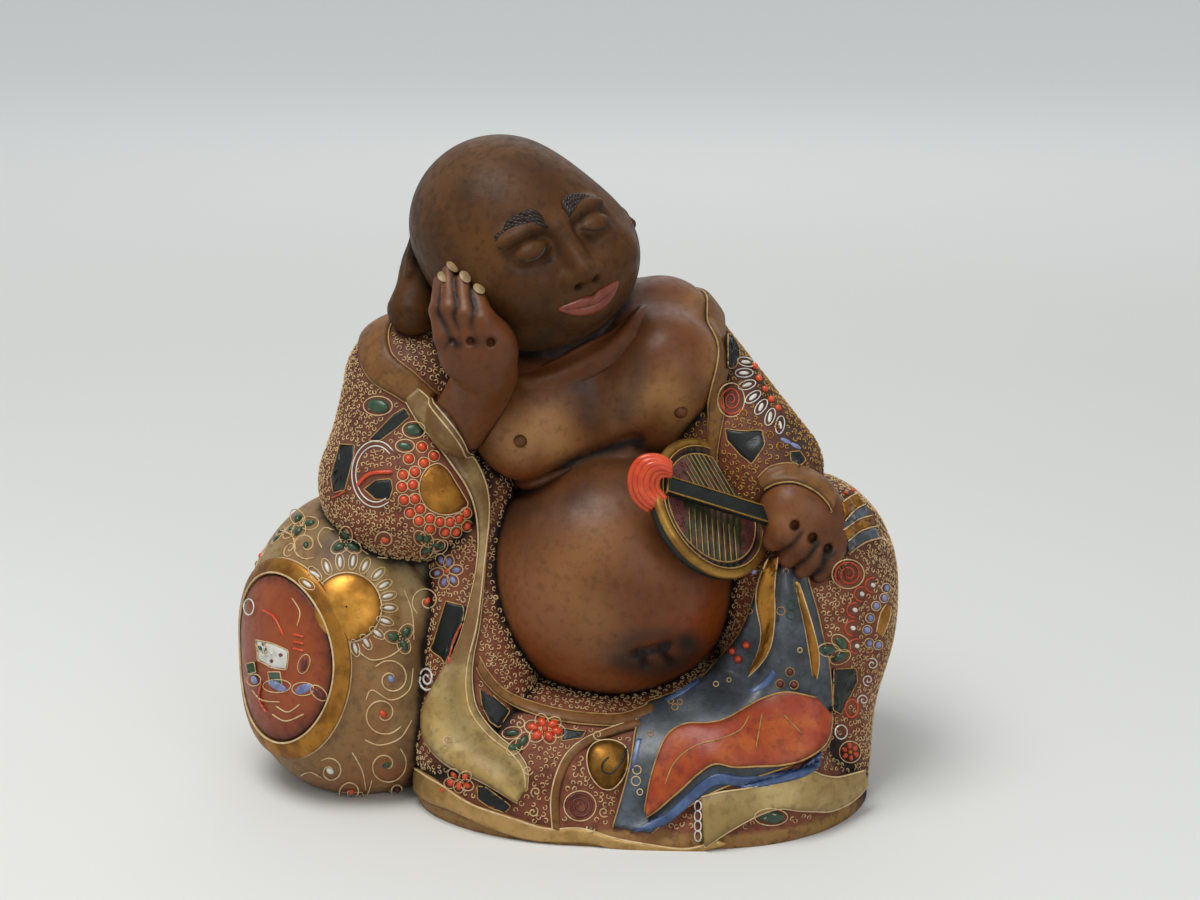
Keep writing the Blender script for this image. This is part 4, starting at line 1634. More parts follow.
# %% Ornaments drawn round an aim
def on_sack(aim, u, v):
    """Points and normals of the sack at u mm right and v mm up from where the aim meets it."""
    aim = np.array(aim, float) / np.linalg.norm(aim)
    side = np.cross(aim, (0, 0, 1))
    side /= np.linalg.norm(side)
    up = np.cross(side, aim)
    away = np.hypot(u, v) + 1e-9
    angle = away / SACK_REACH
    tilt = np.sin(angle) / away
    ray = np.cos(angle)[..., None] * aim + (u * tilt)[..., None] * side + (v * tilt)[..., None] * up
    flat = ray.reshape(-1, 3)
    start = SACK_MIDDLE + flat * 150
    far, _ = march(sack, start, -flat, 149)
    base = (start - flat * far[:, None]).reshape(ray.shape)
    return base, outward(sack, base, 1.0)


def sack_ring(name, aim, inner, outer, height, power, slot, material, nodes, rings=24, columns=140, lines=()):
    """A band of the sack between two distances from the aim, with a rounded top."""
    r = np.linspace(inner, outer, rings)[:, None]
    v = np.linspace(0, 2 * np.pi, columns, endpoint=False)[None, :]
    base, normals = on_sack(aim, r * np.cos(v), r * np.sin(v))
    across = np.linspace(-1, 1, rings) if inner > 1 else np.linspace(0, 1, rings)
    heights = (height * rounded(across, power) - 0.15)[:, None] + 0 * v
    points, faces = patch_mesh(base, normals, heights)
    crease = (np.abs(across) ** 10)[:, None] + 0 * v
    marks = {"crease": np.concatenate([crease, crease[::-1]]).ravel()}
    add_piece(name, points, faces, slot, material, nodes, marks)
    rims = []
    for radius, thick, lift in lines:
        ring_base, ring_normals = on_sack(aim, radius * np.cos(v), radius * np.sin(v))
        rims.append(tubes(ring_base + ring_normals * lift, ring_normals, thick, 5, closed=True))
    if rims:
        add_piece(name + "_lines", *together(*rims), slot, slip_paint)


PANEL_AIM, SUN_AIM = (-0.62, -0.77, 0.1), (0.04, -0.86, 0.51)
sack_ring("sack_panel", PANEL_AIM, 0.5, 36.2, 1.7, 8, VERMILION, panel_paint, ["medallion"], 40, 160)
sack_ring("sack_panel_rim", PANEL_AIM, 36.2, 43.5, 2.6, 4, GOLD, gold_paint, ["medallion_rim"], 16, 200,
          [(36.4, 0.5, 1.9), (43.3, 0.5, 0.6)])
sack_ring("sack_sun", SUN_AIM, 0.4, 14, 2.6, 3, GOLD, sun_paint, ["sun_disc"], 20, 90, [(14.3, 0.42, 0.4)])

# %% [markdown]
# ## Finding the clay again
# Trailed lines and beads stand on finished surfaces, folds and all. A table keeps, for each small
# cell of the picture, the point of the clay nearest to the eye. A ray through a pixel then ends on
# the tangent plane of its cell's point, which is as good as the surface itself so close by.

# %% Surfaces seen in the picture
CELL = 2.0
PIXEL_MM = 0.436
STEPS = [np.array([i, j, k]) for i in (-1, 0, 1) for j in (-1, 0, 1) for k in (-1, 0, 1)]


def surface_of(names):
    """Points and normals of finished pieces, in drawing millimetres."""
    points, normals = [], []
    for name in names:
        mesh = bpy.data.objects[name].data
        values = np.empty(len(mesh.vertices) * 3, np.float32)
        mesh.vertices.foreach_get("co", values)
        points.append(values.reshape(-1, 3).astype(float) / MM + DRAWING_MIDDLE)
        mesh.vertex_normals.foreach_get("vector", values)
        normals.append(values.reshape(-1, 3).astype(float))
    return np.vstack(points), np.vstack(normals)


clay_points, clay_normals = surface_of([name for name in made if "lines" not in name])


def front_table():
    """The nearest facing point in each cell. Empty cells, and cells whose neighbour's point is
    clearly nearer, take the neighbour's."""
    towards = CAMERA_AT - clay_points
    depth = np.linalg.norm(towards, axis=-1)
    cells = (to_pixels(clay_points) / CELL).astype(int)
    shape = (int(PHOTO_SIZE[1] / CELL), int(PHOTO_SIZE[0] / CELL))
    seen = ((towards * clay_normals).sum(-1) > 0) & (cells >= 0).all(1) & (cells[:, 0] < shape[1]) & (cells[:, 1] < shape[0])
    order = np.flatnonzero(seen)
    order = order[np.argsort(-depth[order])]
    table = np.full(shape, -1)
    table[cells[order, 1], cells[order, 0]] = order
    for margin in (1.2, 1.2) + (1e6,) * 14:
        reach = np.where(table >= 0, depth[table], 1e9)
        for down, right in ((1, 0), (-1, 0), (0, 1), (0, -1)):
            other = np.roll(table, (down, right), (0, 1))
            beyond = np.where(other >= 0, depth[other], 1e9)
            nearer = (beyond < reach - margin) & (other >= 0) if margin < 1e5 else (table < 0) & (other >= 0)
            table = np.where(nearer, other, table)
            reach = np.where(nearer, beyond, reach)
        inside = table >= 0 if margin < 1e5 else inside
    return table, inside


TABLE, INSIDE = front_table()


def front(pixels):
    """Clay and normals behind pixels: start + ray ((p - start) . n) / (ray . n). A pixel beyond the
    outline of the figure takes the nearest point of the outline."""
    pixels = np.atleast_2d(np.asarray(pixels, float))
    start, ray = view_rays(pixels)
    cell = (pixels / CELL).astype(int)
    index = TABLE[cell[:, 1], cell[:, 0]]
    point, normal = clay_points[index], clay_normals[index]
    straight = ((point - start) * ray).sum(-1)
    plane = ((point - start) * normal).sum(-1) / ((ray * normal).sum(-1) - 1e-6)
    distance = np.clip(plane, straight - 2.0, straight + 2.0)
    return np.where(INSIDE[cell[:, 1], cell[:, 0], None], start + ray * distance[:, None], point), normal


def around(azimuth, height, field, axis=(2, 10)):
    """A drawing board on the far sides: pixels right and down of the point that a level ray
    finds. Azimuth 0 looks at the front, 90 at the figure's left side, 180 at its back."""
    angle = math.radians(azimuth)
    out = np.array([math.sin(angle), -math.cos(angle), 0])
    start = np.array([*axis, height]) + out * 220
    far, _ = march(field, start[None], -out[None], 219)
    centre = start - out * far
    right = np.cross(-out, (0, 0, 1))
    up = np.cross(outward(field, centre, 1.0), right)
    up /= np.linalg.norm(up)

    def board(pixels):
        pixels = np.atleast_2d(np.asarray(pixels, float))
        flat = centre + (pixels[:, :1] * right - pixels[:, 1:] * up) * PIXEL_MM
        points = onto(field, flat, 7)
        return points, outward(field, points, 1.0)

    return board


# %% [markdown]
# ## Trailing, beading and filling
# The potter's tools are few: a nozzle that trails a line, a drop let fall as a bead, and a brush
# that fills a patch with enamel. Each tool here takes a board, which turns pixels into clay, and
# adds its mesh to the pile of its colour. All points are kept as busy, so no curl lands on them.

# %% Tools
piles = {}
busy = []


def drawn(pile, points, faces):
    """Adds a closed mesh to a pile, its faces turned outwards."""
    faces = np.asarray(faces)
    a, b, c = (points[faces[:, k]] for k in range(3))
    d = points[faces[:, -1]]
    volume = np.einsum("ij,ij->i", a, np.cross(b, c)).sum() + np.einsum("ij,ij->i", a, np.cross(c, d)).sum()
    piles.setdefault(pile, []).append((points, (faces[:, ::-1] if volume < 0 else faces).tolist()))
    busy.append(points)


def line(board, pixels, pile="cream", radius=0.3, closed=False):
    """A tube of five sides whose middle stands on the clay, thinner at its two ends."""
    pixels = np.asarray(pixels, float)
    length = np.linalg.norm(np.diff(pixels, axis=0), axis=1).sum()
    steps = int(length / 2.4) + 6
    path, normals = board(smooth_path(pixels, steps, closed))
    path = path + normals * radius * 0.3
    thick = radius * (1 if closed else 0.45 + 0.55 * rounded(np.linspace(-1, 1, steps), 8))
    thick = np.broadcast_to(thick, (1, steps))
    if closed:
        points, faces = tubes(path[None], normals[None], thick, 5, closed=True)
    else:
        points, faces = tubes(path[None], normals[None], thick, 5)
        faces = faces[:-2]
    drawn(pile, points, faces)


def ring(board, middle, wide, tall, pile="cream", radius=0.28, start=0.0, end=2 * np.pi):
    """An ellipse, or an arc of one from start to end, in pixels."""
    whole = abs(end - start) > 6.28
    angle = np.linspace(start, end, 17)[:-1] if whole else np.linspace(start, end, 14)
    line(board, np.stack([middle[0] + wide * np.cos(angle), middle[1] + tall * np.sin(angle)], -1), pile, radius, whole)


def spiral(board, middle, size, pile="cream", radius=0.3, turns=1.7, start=0.0, squash=1.0):
    """r = size (1 - 0.85 t) at the angle start + 2 pi turns t."""
    t = np.linspace(0, 1, int(turns * 12))
    angle, r = start + 2 * np.pi * turns * t, size * (1 - 0.85 * t)
    line(board, np.stack([middle[0] + r * np.cos(angle), middle[1] + squash * r * np.sin(angle)], -1), pile, radius)


def beads(board, middles, long, wide=None, pile="orange", angles=0.0, height=0.9):
    """Domes of three rings and a top: z = h sqrt(1 - s^2) over an ellipse, all at once."""
    middles = np.atleast_2d(np.asarray(middles, float))
    wide = long if wide is None else wide
    at, normal = board(middles)
    right = board(middles + (1.5, 0))[0] - board(middles - (1.5, 0))[0]
    right -= normal * (right * normal).sum(-1, keepdims=True)
    right /= np.linalg.norm(right, axis=-1, keepdims=True) + 1e-9
    down = np.cross(right, normal)
    angles = np.broadcast_to(angles, len(middles))[:, None]
    one = np.cos(angles) * right + np.sin(angles) * down
    two = -np.sin(angles) * right + np.cos(angles) * down
    share, v = np.array([1, 0.97, 0.6])[:, None], np.linspace(0, 2 * np.pi, 10, endpoint=False)[None]
    x, y, z = share * np.cos(v) * long, share * np.sin(v) * wide, np.array([-0.4, 0.3, 0.8])[:, None] + 0 * v
    flat = [np.append(k.ravel(), last) for k, last in ((x, 0), (y, 0), (z, 1))]
    tall = height * PIXEL_MM * min(long, wide)
    points = at[:, None] + (one[:, None] * flat[0][:, None] + two[:, None] * flat[1][:, None]) * PIXEL_MM
    points = points + normal[:, None] * flat[2][:, None] * tall
    side = strip_faces(3, 10, True)
    turn = np.arange(10)
    lid = np.stack([20 + turn, 20 + (turn + 1) % 10, np.full(10, 30), np.full(10, 30)], -1)
    faces = (np.vstack([side, lid])[None] + np.arange(len(at))[:, None, None] * 31).reshape(-1, 4)
    points = points.reshape(-1, 3)
    piles.setdefault(pile, []).append((points, faces[:, ::-1].tolist()))
    busy.append(points)


def berries(board, middles, size=4.4, pile="orange", rim="cream"):
    """Beads, each inside its own trailed ring."""
    beads(board, middles, size, None, pile)
    for middle in middles:
        ring(board, middle, size * 1.3, size * 1.3, rim, 0.24)


def petals(board, middles, focus, long, wide, pile="white", rim=None):
    """Long beads that point at a focus, each with a trailed loop round it if rim is given."""
    middles = np.array(middles, float)
    away = middles - np.array(focus, float)
    angles = np.arctan2(away[:, 1], away[:, 0])
    beads(board, middles, long, wide, pile, angles, 0.8)
    for middle, angle in zip(middles, angles) if rim else ():
        a = np.linspace(0, 2 * np.pi, 15)[:-1]
        x, y = np.cos(a) * (long + 3), np.sin(a) * (wide + 2.4)
        loop = np.stack([x * math.cos(angle) - y * math.sin(angle), x * math.sin(angle) + y * math.cos(angle)], -1)
        line(board, middle + loop, rim, 0.24, True)


def patch(board, outline, pile="black", height=0.45, rim="tan", power=7.0, width=0.28):
    """Enamel filling a closed outline: rings between its middle and its edge, and a rim line."""
    outline = np.array(outline, float)
    edge = smooth_path(np.repeat(outline, 2, 0) * 0.86 + np.roll(np.repeat(outline, 2, 0), -1, 0) * 0.14, 44, closed=True)
    middle = edge.mean(0)
    rings = max(5, int(np.linalg.norm(edge - middle, axis=1).max() / 3.2))
    share = np.linspace(0.03, 1, rings)[:, None, None]
    base, normals = board((middle + share * (edge - middle)).reshape(-1, 2))
    base, normals = base.reshape(rings, 44, 3), normals.reshape(rings, 44, 3)
    points, faces = patch_mesh(base, normals, dome(rings, height, power) + np.zeros((rings, 44)), 0.8)
    drawn(pile, points, faces)
    if rim:
        line(board, edge[::2], rim, width, True)


def strip(board, left, right, pile, height=0.6, rim="cream", power=3.0, columns=9):
    """Enamel between two edges given as pixel paths, rounded across and at both ends."""
    rows = int(np.linalg.norm(np.diff(np.array(left, float), axis=0), axis=1).sum() / 2.6) + 6
    t = np.linspace(0, 1, columns)[None, :, None]
    one, two = smooth_path(left, rows), smooth_path(right, rows)
    base, normals = board((one[:, None] * (1 - t) + two[:, None] * t).reshape(-1, 2))
    base, normals = base.reshape(rows, columns, 3), normals.reshape(rows, columns, 3)
    heights = height * rounded(np.linspace(-1, 1, columns), power)[None] * rounded(np.linspace(-1, 1, rows), 12)[:, None]
    drawn(pile, *laid_mesh(base, normals, heights - 0.1, 0.8))
    for edge in (left, right) if rim else ():
        line(board, edge, rim, 0.32)


def disc(board, middle, size, pile="gold", height=0.8, rim="cream"):
    angle = np.linspace(0, 2 * np.pi, 12, endpoint=False)
    patch(board, np.stack([middle[0] + size * np.cos(angle), middle[1] + size * np.sin(angle)], -1), pile, height, rim, 3)


def trefoil(board, middle, size=6.0, pile="green", angle=0.0, rim="cream"):
    """Three leaves round a point, each an oval bead with a loop."""
    aims = angle + np.array([0.0, 2.1, 4.2])
    at = np.stack([middle[0] + size * np.cos(aims), middle[1] + size * np.sin(aims)], -1)
    petals(board, at, middle, size * 0.85, size * 0.55, pile, rim)


def blossom(board, middle, size=9.0, pile="red", count=6, core="gold", rim="cream"):
    """Petals round a core bead."""
    aims = np.linspace(0, 2 * np.pi, count, endpoint=False) + 0.4
    at = np.stack([middle[0] + size * 0.62 * np.cos(aims), middle[1] + size * 0.62 * np.sin(aims)], -1)
    petals(board, at, middle, size * 0.34, size * 0.26, pile)
    ring(board, middle, size * 1.08, size * 1.08, rim, 0.24)
    beads(board, [middle], size * 0.26, None, core)


# %% [markdown]
# ## Ornaments of the sleeves
# Berries in rings crowd round a gold half moon on the right sleeve, with blocks of black enamel
# and a double white ring. The left sleeve has black blocks, a row of looped petals and a spiral.

# %% Right sleeve
SLEEVE_BERRIES = [(409, 459), (424, 463), (434, 456), (422, 447), (403, 475), (415, 472), (402, 487), (413, 485),
                  (404, 500), (415, 499), (410, 513), (420, 509), (419, 521), (430, 519), (430, 529), (440, 522),
                  (450, 522), (459, 519), (466, 513), (445, 532), (456, 532), (467, 526)]
HALF_MOON = [(419, 489), (421, 477), (428, 467), (437, 463), (447, 468), (460, 489), (469, 505), (461, 511), (450, 515),
             (437, 514), (426, 507), (421, 498)]
SLEEVE_BLOCKS = [[(369, 440), (393, 415), (404, 408), (410, 416), (396, 429), (378, 442)],
                 [(340, 444), (354, 445), (354, 456), (345, 489), (333, 493), (331, 476)],
                 [(364, 489), (376, 480), (391, 479), (393, 489), (389, 500), (375, 499)]]
patch(front, HALF_MOON, "gold", 0.9, "cream", 3)
berries(front, SLEEVE_BERRIES)
for outline in SLEEVE_BLOCKS:
    patch(front, outline)
for middle, wide, tall, pile in (((378, 406), 12, 7, "green"), ((414, 430), 9, 6, "green"), ((405, 446), 7, 4, "green")):
    beads(front, [middle], wide, tall, pile, 0.2, 0.35)
    ring(front, middle, wide + 2.5, tall + 2.5)
for wide, tall in ((24, 33), (20, 28)):
    ring(front, (376, 474), wide, tall, "white", 0.32, 1.0, 5.5)
line(front, [(357, 486), (370, 474), (393, 472)], "orange", 0.9)
line(front, [(332, 498), (346, 491)], "red", 0.5)
trefoil(front, (430, 545), 6.5)
petals(front, [(420, 538), (441, 547)], (430, 560), 5, 3.4, "green", "cream")
petals(front, [(441, 560), (449, 562), (456, 570), (453, 580), (444, 582), (437, 573)], (447, 571), 4.2, 2.8, "lavender", "cream")
beads(front, [(447, 571)], 2.6, None, "orange")

# %% Left sleeve
LEFT_LOOPS = [(746, 362), (744, 373), (747, 385), (753, 397), (761, 407), (770, 417), (780, 425)]
LEFT_BEADS = [(755, 366), (759, 378), (765, 389), (771, 399), (778, 408)]
for outline in ([(728, 334), (733, 335), (739, 346), (740, 356), (735, 368), (728, 368)],
                [(725, 429), (744, 431), (762, 430), (765, 445), (752, 464), (740, 455), (727, 440)],
                [(790, 452), (800, 451), (806, 460), (800, 466), (791, 461)]):
    patch(front, outline)
spiral(front, (731, 400), 12, "red", 0.42, 2.3, 0.5, 1.25)
ring(front, (731, 400), 13.5, 17, "cream", 0.26)
petals(front, LEFT_LOOPS, (788, 372), 6, 2.0, "white", "white")
beads(front, LEFT_BEADS, 3.4, None, "orange")
beads(front, [(786, 441), (796, 446)], 6, 2.4, "lavender", 0.5, 0.5)
for middle in ((770, 436), (781, 446), (776, 426), (742, 384), (744, 414)):
    spiral(front, middle, 5, "gold", 0.36, 1.3, middle[0])

# %% [markdown]
# ## Ornaments of the knee, the lap and the hem

# %% Knee
KNEE_BEADS = [(884, 598), (876, 606), (870, 618), (867, 630), (869, 643), (878, 645), (886, 588)]
SCALLOPS = [(873, 585), (862, 594), (855, 610), (853, 628), (857, 646)]
for pixels, pile, radius in (([(843, 502), (850, 497), (858, 493)], "cream", 0.35), ([(845, 521), (855, 510), (866, 504)], "cream", 0.35),
                             ([(843, 530), (858, 520), (873, 515)], "cream", 0.35), ([(848, 541), (861, 531), (878, 526)], "cream", 0.35),
                             ([(850, 553), (866, 542), (881, 538)], "cream", 0.35)):
    line(front, pixels, pile, radius)
for left, right, pile in (([(845, 521), (855, 511), (866, 505)], [(844, 529), (858, 520), (871, 514)], "slate"),
                          ([(848, 541), (861, 532), (876, 527)], [(850, 552), (864, 543), (880, 538)], "slate"),
                          ([(843, 502), (850, 497), (858, 494)], [(845, 519), (855, 509), (865, 504)], "gold"),
                          ([(844, 530), (858, 521), (872, 515)], [(848, 540), (861, 530), (876, 525)], "gold")):
    strip(front, left, right, pile, 0.5, None)
beads(front, [(846, 493), (853, 490)], 2.4, None, "red")
spiral(front, (848, 574), 14, "red", 0.5, 2.3, 2.0)
ring(front, (848, 574), 16, 14.5, "cream", 0.28)
for middle in SCALLOPS:
    ring(front, middle, 8.5, 7.5, "red", 0.45, 1.6, 4.9)
    beads(front, [middle], 3.2, 2.2, "white", 0.3)
berries(front, KNEE_BEADS, 3.6, "lavender")
strip(front, [(886, 604), (880, 614), (876, 632)], [(891, 606), (889, 620), (882, 637)], "gold")
petals(front, [(841, 643), (840, 657), (829, 650)], (852, 652), 8, 4.4, "green", "cream")
patch(front, [(834, 669), (856, 668), (857, 682), (841, 714), (833, 710)])
ring(front, (851, 708), 6.5, 9, "orange", 0.5)
ring(front, (841, 732), 6, 7, "white", 0.34)
blossom(front, (850, 752), 10, "red", 6, "gold")
for middle in ((872, 664), (868, 680), (863, 700)):
    spiral(front, middle, 6, "white", 0.3, 1.4, middle[1])

# %% Lap, skirt and hem
for outline in ([(446, 601), (464, 606), (463, 620), (446, 662), (431, 650)],
                [(480, 689), (488, 690), (499, 701), (510, 711), (499, 728), (490, 722), (482, 707)],
                [(477, 786), (486, 787), (498, 796), (511, 806), (505, 813), (490, 808), (478, 799)],
                [(562, 728), (574, 730), (586, 731), (582, 738), (562, 741)]):
    patch(front, outline)
line(front, [(462, 624), (454, 640), (448, 664)], "orange", 0.45)
spiral(front, (427, 678), 8.5, "white", 0.5, 1.8, 1.0, 1.5)
beads(front, [(442, 790), (449, 781)], 2.2, None, "orange")
petals(front, [(454, 775), (465, 777), (459, 786), (451, 783), (467, 785)], (459, 781), 4.0, 3.0, "orange", "cream")
petals(front, [(523, 741), (512, 733), (515, 747)], (530, 730), 7, 3.6, "green", "cream")
petals(front, [(533, 727), (542, 722), (553, 724), (557, 731), (549, 736), (537, 735)], (545, 729), 5.6, 4.2, "orange", "cream")
beads(front, [(545, 729)], 3.4, None, "red")
spiral(front, (580, 806), 14, "maroon", 0.55, 2.4, 3.0)
ring(front, (580, 806), 16, 15, "cream", 0.28)
beads(front, [(771, 817)], 14, 6.5, "green", -0.1, 0.25)
ring(front, (771, 817), 16.5, 8.5, "cream", 0.26)
line(front, [(764, 819), (771, 814), (779, 816)], "cream", 0.26)
line(front, DROP, "cream", 0.34, True)
line(front, [(627, 747), (621, 762), (611, 773), (603, 771), (603, 763), (609, 757)], "dark", 0.45)
for y in range(806, 846, 10):
    ring(front, (698, y), 3.4, 5.4, "white", 0.34)
for middle in ((528, 770), (536, 792), (520, 724), (533, 812), (604, 812), (590, 828), (448, 740), (598, 735)):
    spiral(front, middle, 5.5, "cream", 0.3, 1.3, middle[0])

# %% [markdown]
# ## Ornaments of the sash and the sack

# %% Sash
for left, right in (([(768, 558), (759, 580), (756, 603), (761, 632), (758, 652), (749, 672)], [(778, 557), (775, 585), (775, 618), (771, 646), (761, 664), (748, 677)]),
                    ([(795, 582), (799, 600), (806, 632), (813, 676)], [(799, 582), (811, 620), (819, 655), (817, 679)])):
    strip(front, left, right, "gold", 1.0)
berries(front, [(746, 645), (732, 651), (738, 659)], 3.6, "orange", "maroon")
berries(front, [(790, 672), (794, 685), (780, 684)], 3.4, "maroon", "tan")
beads(front, [(754, 572)], 3, 2.4, "lavender")
for middle, size, pile in (((791, 605), 4.4, "green"), ((791, 615), 4.4, "green"), ((781, 611), 4, "tan"), ((750, 611), 2.6, "tan"),
                           ((716, 684), 2.6, "cream"), ((729, 680), 2.2, "cream"), ((675, 707), 3.2, "tan"), ((671, 701), 2.6, "tan"),
                           ((680, 702), 2.6, "tan"), ((637, 770), 4.2, "cream"), ((636, 781), 4.6, "cream"), ((640, 792), 3, "cream"),
                           ((786, 571), 2.6, "tan"), ((651, 734), 2.4, "tan"), ((800, 650), 2.4, "cream")):
    ring(front, middle, size, size, pile, 0.26)
for pixels in ([(749, 716), (740, 730), (720, 739), (695, 746), (675, 762), (665, 784)], [(762, 714), (756, 747)], [(784, 715), (802, 734)]):
    line(front, pixels, "tan", 0.32)
BLUE_EDGE = [(648, 822), (668, 812), (684, 797), (700, 782), (717, 773), (746, 776), (778, 773), (803, 767), (822, 752)]
BLUE_FOOT = [(630, 833), (662, 827), (684, 811), (702, 795), (719, 785), (747, 788), (777, 784), (804, 777), (821, 766)]
strip(front, BLUE_EDGE, BLUE_FOOT, "blue", 0.9, None)
for left, right in (([(700, 676), (682, 688), (664, 699)], [(700, 681), (684, 693), (668, 702)]), ([(772, 668), (764, 680), (748, 690)], [(777, 674), (768, 686), (752, 694)]),
                    ([(636, 738), (632, 756), (630, 770)], [(642, 738), (638, 756), (634, 770)])):
    strip(front, left, right, "blue", 0.5, None)

# %% Sack
SUN, SUN_PETALS = (344, 607), [(307, 584), (315, 574), (327, 567), (340, 562), (353, 561), (365, 566), (378, 574), (384, 585),
                              (388, 596), (389, 608), (385, 621), (377, 633), (366, 642), (355, 648)]
petals(front, SUN_PETALS, SUN, 6.0, 1.9, "white", "cream")
for middle, size, core, start in (((427, 601), 16, "orange", 2.2), ((391, 679), 20, "lavender", 3.8), ((383, 714), 22, "orange", 0.6),
                                  ((386, 765), 22, "green", 5.4), ((351, 792), 13, "orange", 2.0), ((398, 790), 9, "maroon", 0.5),
                                  ((306, 545), 15, "green", 1.0), ((385, 540), 10, "orange", 3.0), ((330, 771), 14, "white", 4.0)):
    spiral(front, middle, size, "cream", 0.34, 1.35, start)
    beads(front, [middle], 4.2, 3.0, core, start)
for middle, angle in (((346, 543), 0.5), ((401, 638), 1.2), ((302, 524), 2.0)):
    trefoil(front, middle, 7.5, "green", angle)
for pixels in ([(358, 651), (372, 660), (392, 655), (410, 640)], [(366, 700), (372, 690), (391, 700), (409, 690), (413, 668)],
               [(365, 740), (380, 745), (400, 738), (412, 720)], [(352, 752), (362, 770), (366, 790)], [(404, 590), (412, 612), (414, 640)],
               [(280, 530), (292, 536), (296, 550)], [(322, 548), (318, 538), (324, 528), (334, 530)], [(360, 548), (372, 556), (388, 558)],
               [(322, 778), (310, 772), (300, 776)], [(372, 780), (366, 796), (352, 800)]):
    line(front, pixels, "cream", 0.3)

# %% [markdown]
# The red panel carries a bundle of treasures as folk potters draw them: a bag, scrolls tied with
# a ribbon, an open box and a few jewels. It is a generic one, in the colours of the photograph.

# %% Treasures on the panel
patch(front, [(256, 640), (272, 643), (289, 651), (287, 670), (272, 668), (258, 660)], "white", 0.4, "cream", 5, 0.26)
for outline in ([(257, 646), (264, 642), (268, 650), (261, 655)], [(268, 672), (280, 672), (282, 684), (270, 685)], [(246, 664), (254, 662), (256, 672), (248, 674)]):
    patch(front, outline, "green", 0.35, "cream", 5, 0.24)
for middle, long, wide, angle in (((277, 686), 13, 4.5, 0.35), ((303, 689), 10, 4.5, -0.35), ((254, 680), 6, 4, 0.3)):
    beads(front, [middle], long, wide, "lavender", angle, 0.3)
    ring(front, middle, long + 1, wide + 2, "cream", 0.24)
beads(front, [(272, 661), (281, 655)], 3, 2, "maroon")
line(front, [(262, 610), (274, 617), (284, 636)], "orange", 0.5)
line(front, [(262, 682), (259, 698), (266, 712)], "orange", 0.5)
for y in (634, 641, 648):
    line(front, [(293, y), (304, y + 3)], "orange", 0.5)
ring(front, (249, 607), 5, 8, "white", 0.34)
petals(front, [(304, 664), (319, 693)], (300, 676), 7, 3.2, "maroon", "cream")
line(front, [(272, 714), (286, 721), (304, 714)], "cream", 0.34)
line(front, [(276, 706), (288, 712), (300, 704)], "cream", 0.3)
line(front, [(252, 690), (262, 700), (280, 702)], "cream", 0.3)
line(front, [(292, 598), (300, 612), (297, 626)], "cream", 0.28)

# %% [markdown]
# ## Ornaments of the back and the far sides
# The photograph does not show these sides, so they are guessed in the style of the front: black
# blocks, gold moons with berries, spirals and blossoms, each drawn on its own small board.

# %% Back and sides
def moon(board, size=24):
    """A gold moon with berries round its lower half."""
    disc(board, (0, 0), size, "gold", 0.9)
    for reach, count in ((size + 9, 11), (size + 20, 15)):
        aims = np.linspace(-0.3, math.pi + 0.3, count)
        berries(board, np.stack([reach * np.cos(aims), reach * np.sin(aims)], -1).tolist(), 4.2)


def block(board, middle, size=20, lean=0.3):
    """A black block with a notched end, leaning by an angle."""
    shape = np.array([(-0.5, -1), (0.5, -0.9), (0.65, 0.2), (0.2, 1.05), (-0.15, 0.75), (-0.6, 0.85)]) * size
    sin, cos = math.sin(lean), math.cos(lean)
    patch(board, shape @ np.array([[cos, sin], [-sin, cos]]) + np.array(middle))


def garden(board, seed):
    """A block, a red spiral, a blossom, a trefoil and a few small spirals round one place."""
    rng = np.random.default_rng(seed)
    block(board, (-34, 4), 22, rng.uniform(-0.6, 0.6))
    spiral(board, (6, -24), 14, "red", 0.5, 2.3, rng.uniform(0, 6))
    ring(board, (6, -24), 16, 16, "cream", 0.28)
    blossom(board, (30, 12), 12, ("red", "lavender", "orange")[seed % 3], 6)
    trefoil(board, (-4, 24), 8, "green", rng.uniform(0, 6))
    ring(board, (34, -26), 9, 12, "white", 0.4, 0.6, 5.4)
    block(board, (12, 52), 15, rng.uniform(0.8, 1.6))
    for x, y in ((-14, -46), (-44, 42), (44, 40)):
        spiral(board, (x, y), 6, "cream", 0.3, 1.4, x)


for azimuth, height in ((180, 118), (232, 150), (118, 62)):
    moon(around(azimuth, height, robe))
for seed, (azimuth, height) in enumerate(((150, 150), (205, 160), (150, 78), (208, 72), (178, 40), (128, 120), (96, 92), (258, 152), (100, 40), (81, 66), (100, 168))):
    garden(around(azimuth, height, robe), seed)
for azimuth, height, size in ((245, 95, 22), (262, 50, 24), (300, 112, 16), (275, 96, 15), (214, 76, 20), (226, 40, 22), (222, 108, 14)):
    board = around(azimuth, height, sack, (-94, -4))
    spiral(board, (0, 0), size, "cream", 0.36, 1.5, azimuth)
    beads(board, [(0, 0)], 4.4, 3.2, ("orange", "green", "lavender")[height % 3])
    spiral(board, (size * 1.5, size), size * 0.6, "cream", 0.32, 1.3, azimuth + 2)
    petals(board, [(-size, size), (-size * 1.3, size * 0.5)], (0, 0), 6, 3, "green", "cream")

# %% [markdown]
# ## Thousands of curls
# Between the ornaments the whole robe is filled with tiny trailed curls. Their places come from
# the points of the finished cloth, thinned so that none stands too near another, and left out
# where another piece covers the cloth or an ornament is drawn. Each curl is a small open loop.

# %% Curls
def cubes(points, size):
    """One whole number for the cube of the given side that holds each point."""
    return (np.floor(points / size).astype(np.int64) + 4096) @ np.array([1, 8192, 8192**2])


def touches(points, others, reach):
    """True where a point, moved by half the reach in any direction, shares a cube with another."""
    taken = np.unique(cubes(others, reach))
    hit = np.zeros(len(points), bool)
    for step in STEPS:
        hit |= np.isin(cubes(points + step * reach / 2, reach), taken)
    return hit


